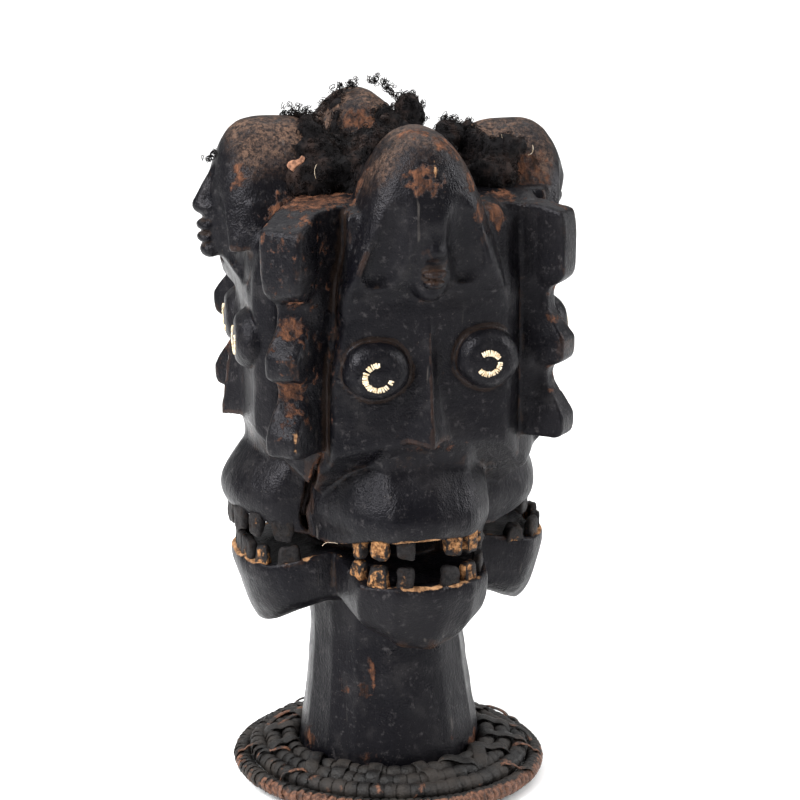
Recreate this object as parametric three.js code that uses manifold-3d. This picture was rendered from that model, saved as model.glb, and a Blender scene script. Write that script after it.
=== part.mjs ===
// Four-faced crest mask: a carved wooden crest covered with dark skin, on a coiled basketry foot.
// Millimetres, +Z up. The origin is the centre of the underside. One big face looks along -Y, and the
// other three look along +X, +Y and -X. A face is built looking along -Y and then turned into place.
import * as THREE from 'three';
import { mergeVertices } from 'three/addons/utils/BufferGeometryUtils.js';
import Module from 'manifold-3d';

const wasm = await Module();
wasm.setup();

// Driving dimensions. In a face's own frame u runs across it, v runs out from the crest's axis.
const SEAT_GAP = 0.3;
const FACE_OUT = 97;
const FACE_BOTTOM = 254;
const BLOCK_TOP = 400;
const FLANGE_FLARE = 0.2;
const EYE_SPACING = 36;
const EYE_HEIGHT = 313;
const EYE_RADIUS = 21;
const EYE_TOP_OUT = 109;
const INLAY_OUTER_RADIUS = 10.5;
const INLAY_INNER_RADIUS = 6.3;
const INLAY_THICKNESS = 1.3;
const HEAD_CENTRE_OUT = 76;
const HEAD_HALF_WIDTH = 46;
const HEAD_FRONT_DEPTH = 42;
const HEAD_BACK_DEPTH = 45;
const HEAD_BROW_HEIGHT = 400;
const HEAD_CHIN_HEIGHT = 352;
const JAW_HALF_WIDTH = 48;
const JAW_CENTRE_OUT = 58;
const UPPER_LIP_HEIGHT = 194;
const LOWER_LIP_HEIGHT = 161;
const LIP_DROOP = 0.28;
const LIP_RISE = 0.2;
const CHIN_HEIGHT = 109;
const CHIN_SLOPE = 0.6;
const TOOTH_WIDTH = 12.5;
const TOOTH_DEPTH = 7;
const TOOTH_SHOW = 14;
const TOOTH_ROOT = 5;
const TOOTH_INSET = 4.5;
const TOOTH_STEPS = [-49, -31, -14.5, 0, 14, 29, 47];
const NECK_FOOT_RADIUS = 60;
const COIL_RADIUS = 5.6;
const COIL_STEP_OUT = 10.7;
const COIL_HEIGHTS = [20, 18, 14.5, 9];
const HAIR_RADIUS = 52;
const HAIR_TOP = 436;

// The four faces differ a little, as hand carving does. Slant turns a face's plane, in degrees, and
// brow squares off its small head. Inlay arcs are start and end angles in degrees.
const FACES = [
  {
    name: 'front', turn: 0, slant: 0, headTop: 449, brow: 3.8, noseOut: 119, noseHeight: 381, lipHeight: 362,
    upperOut: 111, lowerOut: 106, lowerLift: 0, eyeOut: 0, eyeShift: [3, 2], eyeDrop: [10, 6.5],
    noseRidge: 14, upperMissing: 3, lowerMissing: 3, inlays: [[88, 346], [-140, 128]],
  },
  {
    name: 'right', turn: 1, slant: 0, headTop: 437, brow: 5.5, noseOut: 117, noseHeight: 386, lipHeight: 372,
    upperOut: 98, lowerOut: 105, lowerLift: 5, eyeOut: 0, eyeShift: [1, 0], eyeDrop: [3, 6],
    noseRidge: 10, upperMissing: 0, lowerMissing: 4, inlays: [[20, 300], [-60, 190]],
  },
  {
    name: 'back', turn: 2, slant: 0, headTop: 446, brow: 4, noseOut: 118, noseHeight: 388, lipHeight: 369,
    upperOut: 108, lowerOut: 104, lowerLift: 1, eyeOut: 0, eyeShift: [0, -1], eyeDrop: [4, 6],
    noseRidge: 12, upperMissing: 4, lowerMissing: 1, inlays: [[-10, 260], [60, 350]],
  },
  {
    name: 'left', turn: 3, slant: 7, headTop: 446, brow: 4.4, noseOut: 127, noseHeight: 393, lipHeight: 375,
    upperOut: 112, lowerOut: 105, lowerLift: 1, eyeOut: -3, eyeShift: [0, 0], eyeDrop: [3, 0],
    noseRidge: 13, upperMissing: 1, lowerMissing: 0, inlays: [[100, 330], [120, 395]],
  },
];

// The four corner flanges, counted from the one between the front and right faces: how far each
// reaches, half its thickness, its height, and how much its top falls away outwards.
const FLANGES = [
  { turn: 0.5, reach: 131, half: 8, top: 399, fall: 3 },
  { turn: 1.5, reach: 132, half: 8.5, top: 400, fall: 6 },
  { turn: 2.5, reach: 129, half: 8.5, top: 398, fall: 6 },
  { turn: 3.5, reach: 135, half: 10, top: 403, fall: 10 },
];

const material = (color, roughness) => new THREE.MeshStandardMaterial({ color, roughness, metalness: 0 });
const SKIN = material(0x1d1b1c, 0.5);
const TOOTH = material(0x8a6238, 0.75);
const INLAY = material(0xcbb489, 0.7);
const HAIR = material(0x120f0e, 0.95);
const BASKET = material(0x2b2320, 0.7);

// Booleans need closed meshes that hold nothing but merged positions.
function toSolid(geometry) {
  const bare = geometry.clone();
  bare.deleteAttribute('normal');
  bare.deleteAttribute('uv');
  const merged = mergeVertices(bare, 1e-3);
  return new wasm.Manifold(new wasm.Mesh({
    numProp: 3,
    vertProperties: new Float32Array(merged.attributes.position.array),
    triVerts: new Uint32Array(merged.index.array),
  }));
}

function toGeometry(solid) {
  const mesh = solid.getMesh();
  const geometry = new THREE.BufferGeometry();
  geometry.setAttribute('position', new THREE.BufferAttribute(new Float32Array(mesh.vertProperties), 3));
  geometry.setIndex(new THREE.BufferAttribute(new Uint32Array(mesh.triVerts), 1));
  geometry.computeVertexNormals();
  return geometry;
}

const join = (solids) => solids.reduce((whole, solid) => whole.add(solid));
const turned = (geometry, turn) => geometry.clone().rotateZ(turn * Math.PI / 2);
const lerp = THREE.MathUtils.lerp;
const smooth = THREE.MathUtils.smoothstep;

// A closed body of stacked rings. point(k, row) gives [u, v, z] for place k of the ring in that row,
// counted from the bottom; place 0 looks along +v, which is -Y.
function stackRings(segments, rows, point) {
  const geometry = new THREE.CylinderGeometry(1, 1, 1, segments, rows - 1);
  const position = geometry.attributes.position;
  for (let i = 0; i < position.count; i += 1) {
    const row = Math.round((position.getY(i) + 0.5) * (rows - 1));
    const reach = Math.hypot(position.getX(i), position.getZ(i));
    const angle = Math.atan2(position.getX(i), position.getZ(i));
    const k = (Math.round(angle / (2 * Math.PI) * segments) + segments) % segments;
    let [u, v, z] = point(k, row);
    if (reach < 0.5) {
      const ring = Array.from({ length: segments }, (_, j) => point(j, row));
      [u, v, z] = [0, 1, 2].map((axis) => ring.reduce((sum, p) => sum + p[axis], 0) / segments);
    }
    position.setXYZ(i, u, -v, z);
  }
  return geometry;
}

// A value read off straight lines through [height, value] pairs.
function along(pairs, height) {
  const last = pairs.length - 1;
  if (height <= pairs[0][0]) return pairs[0][1];
  if (height >= pairs[last][0]) return pairs[last][1];
  const i = pairs.findIndex((pair) => pair[0] > height);
  const share = (height - pairs[i - 1][0]) / (pairs[i][0] - pairs[i - 1][0]);
  return lerp(pairs[i - 1][1], pairs[i][1], share);
}

const blob = (u, v, z, halfU, halfV, halfZ) => new THREE.SphereGeometry(1, 8, 5)
  .rotateX(Math.PI / 2)
  .scale(halfU, halfV, halfZ)
  .translate(u, -v, z);

// The neck rises from the foot, narrows and then swells into the core behind the jaws.
function neck() {
  const profile = [
    [0, 0], [NECK_FOOT_RADIUS - 2, 0], [NECK_FOOT_RADIUS, 4], [58.7, 30], [53.7, 66],
    [49.8, 104], [52, 165], [56, 188], [70, 205], [76, 222], [76, 260], [0, 260],
  ].map(([r, z]) => new THREE.Vector2(r, z));
  return new THREE.LatheGeometry(profile, 20).rotateX(Math.PI / 2);
}

// The block that carries the four big faces: nearly square in plan, with the faces slightly round and
// the underside drawn in above the jaws. Each face's left edge stands free of the flange beside it
// higher up, with a valley between them. The four sides follow the slants of their faces.
function block() {
  const high = [[-52, 72], [-50.5, 90], [-38, 95.6], [0, FACE_OUT], [38, 95.6], [58, 92], [67, 84]];
  const low = [[-66, 84], [-58, 91], [-38, 95.6], [0, FACE_OUT], [38, 95.6], [58, 92], [67, 84]];
  const levels = [
    [238, 0.84], [FACE_BOTTOM - 3, 0.97], [FACE_BOTTOM + 2, 1], [295, 1], [345, 0.99], [390, 0.98],
    [BLOCK_TOP, 0.95],
  ];
  return stackRings(high.length * 4, levels.length, (k, row) => {
    const [height, scale] = levels[row];
    const start = k + (high.length - 1) / 2;
    const face = FACES[Math.floor(start / high.length) % 4];
    const place = start % high.length;
    const open = smooth(height, 290, 345);
    const u = lerp(low[place][0], high[place][0], open);
    const v = lerp(low[place][1], high[place][1], open) + u * Math.tan(THREE.MathUtils.degToRad(face.slant));
    const turn = face.turn * Math.PI / 2;
    return [
      (u * Math.cos(turn) + v * Math.sin(turn)) * scale,
      (v * Math.cos(turn) - u * Math.sin(turn)) * scale,
      height,
    ];
  });
}

// The hollows scooped along the block's top beside the small heads, so that its shoulders slope down:
// both ends of each in the crest's own frame, and the radius at its first end.
const SHOULDERS = [
  [[-70, -48, 408], [-122, -56, 374], 12],
  [[60, -62, 411], [62, -108, 396], 11],
  [[62, 60, 411], [64, 108, 396], 10],
  [[-60, 62, 411], [-112, 60, 392], 10],
];

// A round bar that thickens from its first end to its second.
function scoop([start, end, radius]) {
  const [from, to] = [start, end].map((place) => new THREE.Vector3(...place));
  const middle = from.clone().lerp(to, 0.5);
  const line = to.clone().sub(from).normalize();
  return new THREE.CylinderGeometry(radius * 1.3, radius, from.distanceTo(to), 8)
    .applyQuaternion(new THREE.Quaternion().setFromUnitVectors(new THREE.Vector3(0, 1, 0), line))
    .translate(middle.x, middle.y, middle.z);
}

// A corner flange: three lobes with two scooped notches between them, thicker towards its root.
function flange({ turn, reach, half, top, fall }) {
  const outline = new THREE.Shape();
  outline.moveTo(72, 250);
  outline.lineTo(reach - 15, 250);
  outline.quadraticCurveTo(reach + 2, 252, reach + 1, 264);
  outline.quadraticCurveTo(reach - 3, 276, reach - 13, 283);
  outline.quadraticCurveTo(reach - 19, 290, reach - 12, 297);
  outline.quadraticCurveTo(reach - 1, 297, reach, 308);
  outline.quadraticCurveTo(reach, 318, reach - 9, 327);
  outline.quadraticCurveTo(reach - 18, 340, reach - 10, 350);
  outline.quadraticCurveTo(reach, 352, reach, 366);
  outline.quadraticCurveTo(reach + 1, top - fall - 8, reach - 10, top - fall);
  outline.lineTo(100, top);
  outline.lineTo(72, top + 3);
  const geometry = new THREE.ExtrudeGeometry(outline, {
    depth: 2, steps: 2, bevelEnabled: false, curveSegments: 2,
  });
  const position = geometry.attributes.position;
  for (let i = 0; i < position.count; i += 1) {
    const out = position.getX(i);
    const height = position.getY(i);
    const side = position.getZ(i) - 1;
    const thick = half + Math.max(0, reach - 20 - out) * FLANGE_FLARE;
    const round = side === 0 ? 1.5 : 0;
    position.setXYZ(i, -side * thick, -out - round, height);
  }
  return turned(geometry, turn);
}

const angleFromFront = (angle) => Math.atan2(Math.sin(angle), Math.cos(angle));

// A small head: a pointed arch across and a long round arch from front to back. Its lower front
// draws in over hollow cheeks down to the big face.
function smallHead({ headTop, brow }) {
  const rows = 9;
  const foot = 330;
  const frontLine = [[330, 94], [345, 96], [HEAD_CHIN_HEIGHT + 4, 100], [378, 108], [HEAD_BROW_HEIGHT, 116]];
  const segments = 16;
  return stackRings(segments, rows, (k, row) => {
    const share = row / (rows - 1);
    const z = lerp(foot, headTop - 0.6, 1 - (1 - share) ** 1.45);
    const rise = Math.max(0, (z - 350) / (headTop - 350));
    const halfWidth = HEAD_HALF_WIDTH * Math.sqrt(Math.max(0.004, 1 - rise ** 1.7));
    const dome = HEAD_CENTRE_OUT + HEAD_FRONT_DEPTH * Math.sqrt(Math.max(0.01, 1 - rise ** brow));
    const front = Math.min(dome, along(frontLine, z)) - HEAD_CENTRE_OUT;
    const back = HEAD_BACK_DEPTH * Math.sqrt(Math.max(0.01, 1 - rise ** 5));
    const square = lerp(3.2, 2, smooth(z, 360, 430));
    const angle = k / segments * 2 * Math.PI;
    const across = Math.sign(Math.sin(angle)) * Math.abs(Math.sin(angle)) ** (2 / square);
    const outward = Math.sign(Math.cos(angle)) * Math.abs(Math.cos(angle)) ** (2 / square);
    const hollow = 5 * smooth(z, 352, 362) * (1 - smooth(z, 396, 412));
    const cheek = outward > 0 ? hollow * Math.max(0, Math.sin(2 * Math.abs(angleFromFront(angle)))) : 0;
    return [halfWidth * across, HEAD_CENTRE_OUT + (outward > 0 ? front : back) * outward - cheek, z];
  });
}

// Plain features for a small head: a wedge of a nose, two lips and a chin.
function smallFeatures({ noseOut, noseHeight, lipHeight }) {
  const noseRows = [
    [noseHeight - 7, 8, noseOut - 4], [noseHeight, 7.5, noseOut], [noseHeight + 9, 5, noseOut - 5],
    [noseHeight + 20, 4, noseOut - 10],
  ];
  const nose = stackRings(10, noseRows.length, (k, row) => {
    const [z, half, tip] = noseRows[row];
    const angle = k / 10 * 2 * Math.PI;
    const outward = Math.cos(angle);
    return [half * Math.sin(angle), 103 + outward * (outward > 0 ? tip - 103 : 8), z];
  });
  const lipOut = noseOut - 8;
  return [
    nose,
    blob(0, lipOut - 8, lipHeight - 1, 14, 11, 15),
    blob(0, lipOut - 1, lipHeight + 4.5, 9, 6, 3.8),
    blob(0, lipOut - 0.5, lipHeight - 4.5, 8, 6, 4),
  ];
}

// The nose of a big face: a long three-sided ridge, cut off flat underneath.
function bigNose({ noseRidge }) {
  const rows = [[256, 17, 1], [262, 16, 0.98], [276, 12, 0.82], [303, 8, 0.56], [343, 4, 0.08]];
  const base = FACE_OUT - 5;
  return stackRings(12, rows.length, (k, row) => {
    const [z, half, stand] = rows[row];
    const angle = k / 12 * 2 * Math.PI;
    const outward = Math.cos(angle);
    const peak = 1 - Math.abs(Math.sin(angle)) ** 1.1;
    return [half * Math.sin(angle), base + (outward > 0 ? (5 + noseRidge * stand) * peak : 6 * outward), z];
  });
}

// A bulging eye with a flat round top for its inlay.
function eyeMound(across, drop, out) {
  const profile = [
    [0, -8], [EYE_RADIUS, -8], [EYE_RADIUS - 1.5, 5], [EYE_RADIUS - 6, 10],
    [INLAY_OUTER_RADIUS + 1, EYE_TOP_OUT - FACE_OUT], [0, EYE_TOP_OUT - FACE_OUT],
  ].map(([r, out]) => new THREE.Vector2(r, out));
  return new THREE.LatheGeometry(profile, 10)
    .rotateX(Math.PI)
    .scale(1, 1, 0.94)
    .translate(across, -FACE_OUT - out, EYE_HEIGHT - drop);
}

// What is left of an eye's pale inlay: an arc of a flat ring.
function inlayArc(across, drop, out, [start, end]) {
  const [from, to] = [start, end].map(THREE.MathUtils.degToRad);
  const arc = new THREE.Shape();
  arc.absarc(0, 0, INLAY_OUTER_RADIUS, from, to, false);
  arc.absarc(0, 0, INLAY_INNER_RADIUS, to, from, true);
  return new THREE.ExtrudeGeometry(arc, { depth: INLAY_THICKNESS, bevelEnabled: false, curveSegments: 4 })
    .rotateX(Math.PI / 2)
    .scale(1, 1, 0.94)
    .translate(across + 1, -EYE_TOP_OUT - out - SEAT_GAP, EYE_HEIGHT - drop - 0.6);
}

// A jaw's plan at one level: flat-sided, with a blunt round front.
function jawPoint(angle, halfWidth, front) {
  const square = 2.5;
  const across = Math.sign(Math.sin(angle)) * Math.abs(Math.sin(angle)) ** (2 / square);
  const outward = Math.sign(Math.cos(angle)) * Math.abs(Math.cos(angle)) ** (2 / square);
  return [halfWidth * across, JAW_CENTRE_OUT + outward * (outward > 0 ? front - JAW_CENTRE_OUT : 30)];
}

// The upper jaw bulges out under the big face. Its lip drops a little towards the mouth's corners.
function upperJaw({ upperOut }) {
  const rows = [
    [UPPER_LIP_HEIGHT, 0.955, -5], [UPPER_LIP_HEIGHT + 5, 0.99, -1], [206, 1.01, 0],
    [218, 1.01, -6], [230, 0.92, -16], [241, 0.8, -28], [256, 0.65, -36],
  ];
  const segments = 16;
  return stackRings(segments, rows.length, (k, row) => {
    const [height, width, draw] = rows[row];
    const [u, v] = jawPoint(k / segments * 2 * Math.PI, JAW_HALF_WIDTH * width, upperOut + draw);
    const inward = Math.max(0, upperOut - Math.max(v, JAW_CENTRE_OUT));
    return [u, v, height - LIP_DROOP * inward * (1 - smooth(height, 195, 225))];
  });
}

// The lower jaw is a blunt wedge: its lip rises towards the corners and its underside runs up to the neck.
function lowerJaw({ lowerOut, lowerLift }) {
  const rows = [
    [CHIN_HEIGHT, 0.5, -20], [CHIN_HEIGHT + 5, 0.72, -15], [122, 0.88, -12], [138, 0.97, -7],
    [155, 0.975, 0], [LOWER_LIP_HEIGHT, 0.94, -3],
  ];
  const segments = 16;
  return stackRings(segments, rows.length, (k, row) => {
    const [height, width, draw] = rows[row];
    const [u, v] = jawPoint(k / segments * 2 * Math.PI, JAW_HALF_WIDTH * width, lowerOut + draw);
    const inward = Math.max(0, lowerOut - 12 - Math.max(v, JAW_CENTRE_OUT - 8));
    const under = CHIN_SLOPE * inward * (1 - smooth(height, 110, 150));
    const lift = under + (LIP_RISE * inward + lowerLift) * smooth(height, 130, 161);
    return [u, v, height + lift];
  });
}

// The place a given length along a jaw's front curve from its middle, and the curve's turn there.
function alongArch(length, halfWidth, front) {
  const steps = 60;
  let travelled = 0;
  let here = jawPoint(0, halfWidth, front);
  for (let i = 1; i <= steps; i += 1) {
    const next = jawPoint(i / steps * Math.PI / 2, halfWidth, front);
    const [du, dv] = [next[0] - here[0], next[1] - here[1]];
    travelled += Math.hypot(du, dv);
    if (travelled >= Math.abs(length)) {
      const side = Math.sign(length);
      return { u: side * next[0], v: next[1], turn: side * Math.atan2(-dv, du) };
    }
    here = next;
  }
  return { u: here[0], v: here[1], turn: Math.PI / 2 };
}

// Where the teeth of one row stand: close inside the lip, with the roof and the floor of the mouth
// drawing together towards its corners.
function toothPlaces(row, face) {
  const upper = row === 'upper';
  const front = upper ? face.upperOut - 5 : face.lowerOut - 3;
  const missing = upper ? face.upperMissing : face.lowerMissing;
  return TOOTH_STEPS.map((length, i) => {
    const { u, v, turn } = alongArch(length, JAW_HALF_WIDTH * 0.94 - TOOTH_INSET, front - TOOTH_INSET);
    const inward = Math.max(0, front - v);
    const roof = UPPER_LIP_HEIGHT - LIP_DROOP * inward;
    const floor = LOWER_LIP_HEIGHT + face.lowerLift + LIP_RISE * Math.max(0, inward - 9);
    const show = Math.min(TOOTH_SHOW - (i * 5) % 3, 0.44 * (roof - floor));
    const lean = ((i * 37) % 7 - 3) * 0.02;
    return { index: i, u, v, root: upper ? roof : floor, show, turn, lean };
  }).filter((place) => place.index !== missing);
}

function toothPeg(row, place, grow) {
  const upper = row === 'upper';
  const length = place.show + TOOTH_ROOT;
  const width = TOOTH_WIDTH - (place.index % 3) * 1.2;
  const down = upper ? TOOTH_ROOT - length / 2 : length / 2 - TOOTH_ROOT;
  return new THREE.BoxGeometry(width + grow * 2, TOOTH_DEPTH + grow * 2, length + grow * 2)
    .rotateY(place.lean)
    .rotateZ(place.turn)
    .translate(place.u, -place.v, place.root + down);
}

// The coiled basketry foot: rings of cane that step out and down from the neck's lower end, with a
// flat underside.
function basketFoot() {
  const inner = NECK_FOOT_RADIUS + SEAT_GAP + 0.1;
  const first = inner + COIL_RADIUS;
  const last = COIL_HEIGHTS.length - 1;
  const outline = [[inner, 0], [inner, COIL_HEIGHTS[0]]];
  COIL_HEIGHTS.forEach((height, coil) => {
    for (const degrees of coil === last ? [110, 55, 0, -50] : [115, 45]) {
      const angle = THREE.MathUtils.degToRad(degrees);
      const centre = first + coil * COIL_STEP_OUT;
      outline.push([centre + COIL_RADIUS * Math.cos(angle), height + COIL_RADIUS * Math.sin(angle)]);
    }
  });
  outline.push([first + last * COIL_STEP_OUT, 0], [inner, 0]);
  const profile = outline.reverse().map(([r, z]) => new THREE.Vector2(r, z));
  return new THREE.LatheGeometry(profile, 32).rotateX(Math.PI / 2);
}

// The frizzy hair that fills the hollow between the four small heads.
function hairPad() {
  const geometry = new THREE.SphereGeometry(1, 16, 6).rotateX(Math.PI / 2);
  const position = geometry.attributes.position;
  for (let i = 0; i < position.count; i += 1) {
    const [x, y, z] = [position.getX(i), position.getY(i), position.getZ(i)];
    const around = Math.atan2(y, x);
    const reach = HAIR_RADIUS * (1 + 0.22 * Math.cos(4 * around + Math.PI));
    position.setXYZ(i, x * reach, y * reach, BLOCK_TOP + 6 + z * (HAIR_TOP - BLOCK_TOP - 6));
  }
  return geometry;
}

// A face's features slant about the face's middle before they turn with it.
function onFace(geometry, face) {
  geometry.translate(0, FACE_OUT, 0);
  geometry.rotateZ(THREE.MathUtils.degToRad(-face.slant));
  geometry.translate(0, -FACE_OUT, 0);
  return turned(geometry, face.turn);
}

// Where an eye stands: how far across its face, how far below the others, and how far out.
const eyePlace = (face, i) => [EYE_SPACING * (i * 2 - 1) + face.eyeShift[i], face.eyeDrop[i], face.eyeOut];

const carved = FACES.flatMap((face) => [
  ...[upperJaw(face), lowerJaw(face), smallHead(face), ...smallFeatures(face)]
    .map((shape) => turned(shape, face.turn)),
  ...[bigNose(face), eyeMound(...eyePlace(face, 0)), eyeMound(...eyePlace(face, 1))]
    .map((shape) => onFace(shape, face)),
]);
const scooped = SHOULDERS.reduce((rest, place) => rest.subtract(toSolid(scoop(place))), toSolid(block()));
let carving = join([scooped, ...[neck(), ...FLANGES.map(flange), ...carved].map(toSolid)]);

const crest = new THREE.Group();
function addPiece(name, geometry, look) {
  const mesh = new THREE.Mesh(geometry, look);
  mesh.name = name;
  crest.add(mesh);
}

for (const face of FACES) {
  for (const row of ['upper', 'lower']) {
    for (const place of toothPlaces(row, face)) {
      const peg = turned(toothPeg(row, place, 0), face.turn);
      carving = carving.subtract(toSolid(turned(toothPeg(row, place, SEAT_GAP), face.turn)));
      addPiece(`tooth_${face.name}_${row}_${place.index + 1}`, peg, TOOTH);
    }
  }
  face.inlays.forEach((arc, i) => {
    const inlay = inlayArc(...eyePlace(face, i), arc);
    addPiece(`eye_inlay_${face.name}_${i + 1}`, onFace(inlay, face), INLAY);
  });
}
addPiece('crest_carving', toGeometry(carving), SKIN);
addPiece('basket_foot', basketFoot(), BASKET);

// The hair keeps a small gap to the wood: it is cut by the carving moved up and outwards a little.
const clearance = [[1, 0], [-1, 0], [0, 1], [0, -1]];
const hair = clearance.reduce(
  (rest, [x, y]) => rest.subtract(carving.translate([x * SEAT_GAP, y * SEAT_GAP, SEAT_GAP])),
  toSolid(hairPad()),
);
addPiece('hair', toGeometry(hair), HAIR);

export default crest;
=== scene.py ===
"""The looks of a four-faced crest mask: carved wood under dark skin, on a coiled basketry foot.

The frame is in metres with +Z up. The carving is shaped by a distance field in millimetres, written
in each face's own coordinates: u runs across the face, v runs outwards from the crest's axis.
"""

import math
import random

import bmesh
import bpy
import numpy as np
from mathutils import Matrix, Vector


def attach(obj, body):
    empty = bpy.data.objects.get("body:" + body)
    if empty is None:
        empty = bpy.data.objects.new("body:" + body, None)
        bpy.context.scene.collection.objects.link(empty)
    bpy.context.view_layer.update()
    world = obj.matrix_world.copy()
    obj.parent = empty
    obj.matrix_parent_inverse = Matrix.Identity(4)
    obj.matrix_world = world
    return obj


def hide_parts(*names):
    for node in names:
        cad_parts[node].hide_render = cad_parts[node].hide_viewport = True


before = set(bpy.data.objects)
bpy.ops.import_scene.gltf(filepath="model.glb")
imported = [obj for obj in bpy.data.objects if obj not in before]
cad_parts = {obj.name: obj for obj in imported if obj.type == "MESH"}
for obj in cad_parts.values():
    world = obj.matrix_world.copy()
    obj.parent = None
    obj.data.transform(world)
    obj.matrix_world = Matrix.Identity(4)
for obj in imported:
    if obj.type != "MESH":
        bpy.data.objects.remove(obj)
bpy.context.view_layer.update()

MM = 0.001
SEED = 11
CAMERA_AZIMUTH = -15

# The faces, in the order of their quarter turns from the front. slant is a face's own turn in degrees.
# The small head above it has head_top, lean, nose_out, nose_height, lip_height, lip_size, brow_out
# for how far its front is moved out, and jawed for how deep it is hollowed under the jaw. scalp and
# scalp_drop say how fuzzy its crown is and how far that comes down. upper_out, lower_out and
# lower_lift place the jaws. Pairs are for the eye at negative u and the eye at positive u.
FACES = [
    dict(name="front", slant=0, head_top=449, nose_out=119, nose_height=381, lip_height=362, brow_out=0,
         scalp_drop=0, scalp=0.5, lean=-2, upper_out=111, lower_out=106, lower_lift=0, eye_out=0,
         eye_drop=(10, 6.5), eye_shift=(3, 2), nose_ridge=14, jawed=0, lip_size=0.78),
    dict(name="right", slant=0, head_top=437, nose_out=117, nose_height=386, lip_height=372, brow_out=-3.5,
         scalp_drop=20, scalp=1, lean=0, upper_out=98, lower_out=105, lower_lift=5, eye_out=0,
         eye_drop=(3, 6), eye_shift=(1, 0), nose_ridge=10, jawed=0.8, lip_size=0.9),
    dict(name="back", slant=0, head_top=446, nose_out=118, nose_height=388, lip_height=369, brow_out=0,
         scalp_drop=14, scalp=1.15, lean=1, upper_out=108, lower_out=104, lower_lift=1, eye_out=0,
         eye_drop=(4, 6), eye_shift=(0, -1), nose_ridge=12, jawed=0.7, lip_size=0.9),
    dict(name="left", slant=7, head_top=446, nose_out=127, nose_height=393, lip_height=375, brow_out=5,
         scalp_drop=0, scalp=0.9, lean=0, upper_out=112, lower_out=105, lower_lift=1, eye_out=-3,
         eye_drop=(3, 0), eye_shift=(0, 0), nose_ridge=13, jawed=1, lip_size=1),
]

# The corner flanges, from the one between the front and right faces. reach is how far out the edge is;
# middle and half place the two sides across the corner; top_swell thickens the upper part; lean slants
# the notches; round eases the edge; fall is how much the top drops towards the edge.
FLANGES = [
    dict(reach=131, middle=0, half=8, top_swell=0, lean=0, round=2.2, top=399, fall=3),
    dict(reach=132, middle=0, half=8.5, top_swell=0, lean=0.2, round=2.5, top=400, fall=6),
    dict(reach=129, middle=0, half=8.5, top_swell=0, lean=-0.1, round=2.5, top=398, fall=6),
    dict(reach=135, middle=2, half=11, top_swell=3.2, lean=0.35, round=5, top=403, fall=10),
]
NEAR_FLANGE = 3
FLANGE_FOOT = 249

FACE_OUT = 97
FACE_LEFT_EDGE = -51
FACE_RIGHT_EDGE = 63
BLOCK_TOP = 400
EYE_SPACING = 36
EYE_HEIGHT = 313
EYE_RADIUS = 20.6
EYE_TALLNESS = 0.91
EYE_RISE = 12
HEAD_CENTRE_OUT = 76
HEAD_FRONT_DEPTH = 45
HEAD_BACK_DEPTH = 46
HEAD_FOOT = 335
JAW_CENTRE_OUT = 58
JAW_FRONT = 111.5
UPPER_LIP_HEIGHT = 194
LOWER_LIP_HEIGHT = 161
LIP_DROP = 0.28
LIP_RISE = 0.2
CHIN_HEIGHT = 109
CHIN_SLOPE = 0.6
NECK_LEAN = 2.2
NECK_FACETS = 13
NECK_TOP = 262

# Height and inset pairs down a flange's outer edge: lobes reach out, notches are scooped in. Each
# lobe is cut square underneath and slopes away on top.
FLANGE_EDGE = [
    (249, 5), (252, 1), (257, 0), (264, 0), (270, 3), (277, 8), (283, 12), (290, 13.5), (295, 12),
    (298, 5), (301, 1), (307, 0), (314, 0), (320, 4), (326, 9), (333, 13), (341, 13.5), (346, 12),
    (350, 5), (354, 1), (361, 0), (380, 0), (390, 1), (399, 3),
]

# Heights, each with a share of the jaw's width and how far its walls move there, below zero inwards.
UPPER_JAW_ROWS = [
    (190, 0.95, -6), (194, 0.975, -3), (199, 1.0, -0.5), (206, 1.01, 0), (212, 1.005, -2), (220, 1.0, -6.5),
    (230, 1.0, -14), (241, 0.99, -23), (256, 0.96, -31),
]
LOWER_JAW_ROWS = [
    (105, 0.5, -24), (110, 0.64, -19), (116, 0.8, -15.5), (129, 0.95, -10), (142, 1.0, -5.5),
    (150, 1.0, -2), (156, 0.995, 0), (161, 0.975, -1.5), (166, 0.95, -3),
]
# Heights with the neck's radius.
NECK_ROWS = [
    (-2, 58), (0, 59.5), (4, 60.6), (12, 60.2), (30, 58.7), (66, 53.7), (104, 49.8), (165, 52),
    (188, 55), (214, 70), (260, 74),
]

# Heights with how far out the front of a small head is.
HEAD_FRONT_ROWS = [
    (325, 84), (338, 94), (348, 97), (358, 103), (368, 108), (384, 114), (396, 118), (404, 123),
    (412, 128),
]
# Heights with how much of its full height the nose's crest has, and with the nose's width on the left.
NOSE_CREST_ROWS = [(254, 1.0), (262, 0.98), (276, 0.82), (303, 0.56), (325, 0.32), (345, 0.0)]
NOSE_WIDTH_ROWS = [(254, 18), (262, 16), (276, 12), (303, 8), (345, 5)]
NOSE_RIGHT_SHARE = 0.8
# Heights with how much a jaw's slope shortens the way to its wall.
UPPER_JAW_SLOPES = [(200, 1), (215, 0.95), (240, 0.68), (256, 0.75)]
LOWER_JAW_SLOPES = [(109, 0.75), (120, 0.85), (135, 0.97)]

# A jaw seen from above: corners between the broad tool-cut facets, across and outwards.
JAW_PLAN = [
    (-70, 30), (-59, 62), (-45, 92), (-25, 108), (4, 111.5), (28, 105), (43, 88), (47, 66), (42, 30),
]
CHIN_PLAN = [
    (-49, 30), (-46, 68), (-42, 91), (-22, 107), (8, 111), (30, 104), (44, 88), (47, 66), (43, 30),
]
# The front jaws keep those corners, crisply cut; the others have them moved a little and worn rounder.
FRONT_CORNERS = dict(shift=0, ease=2.6)
OTHER_CORNERS = dict(shift=1.6, ease=9)


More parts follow.
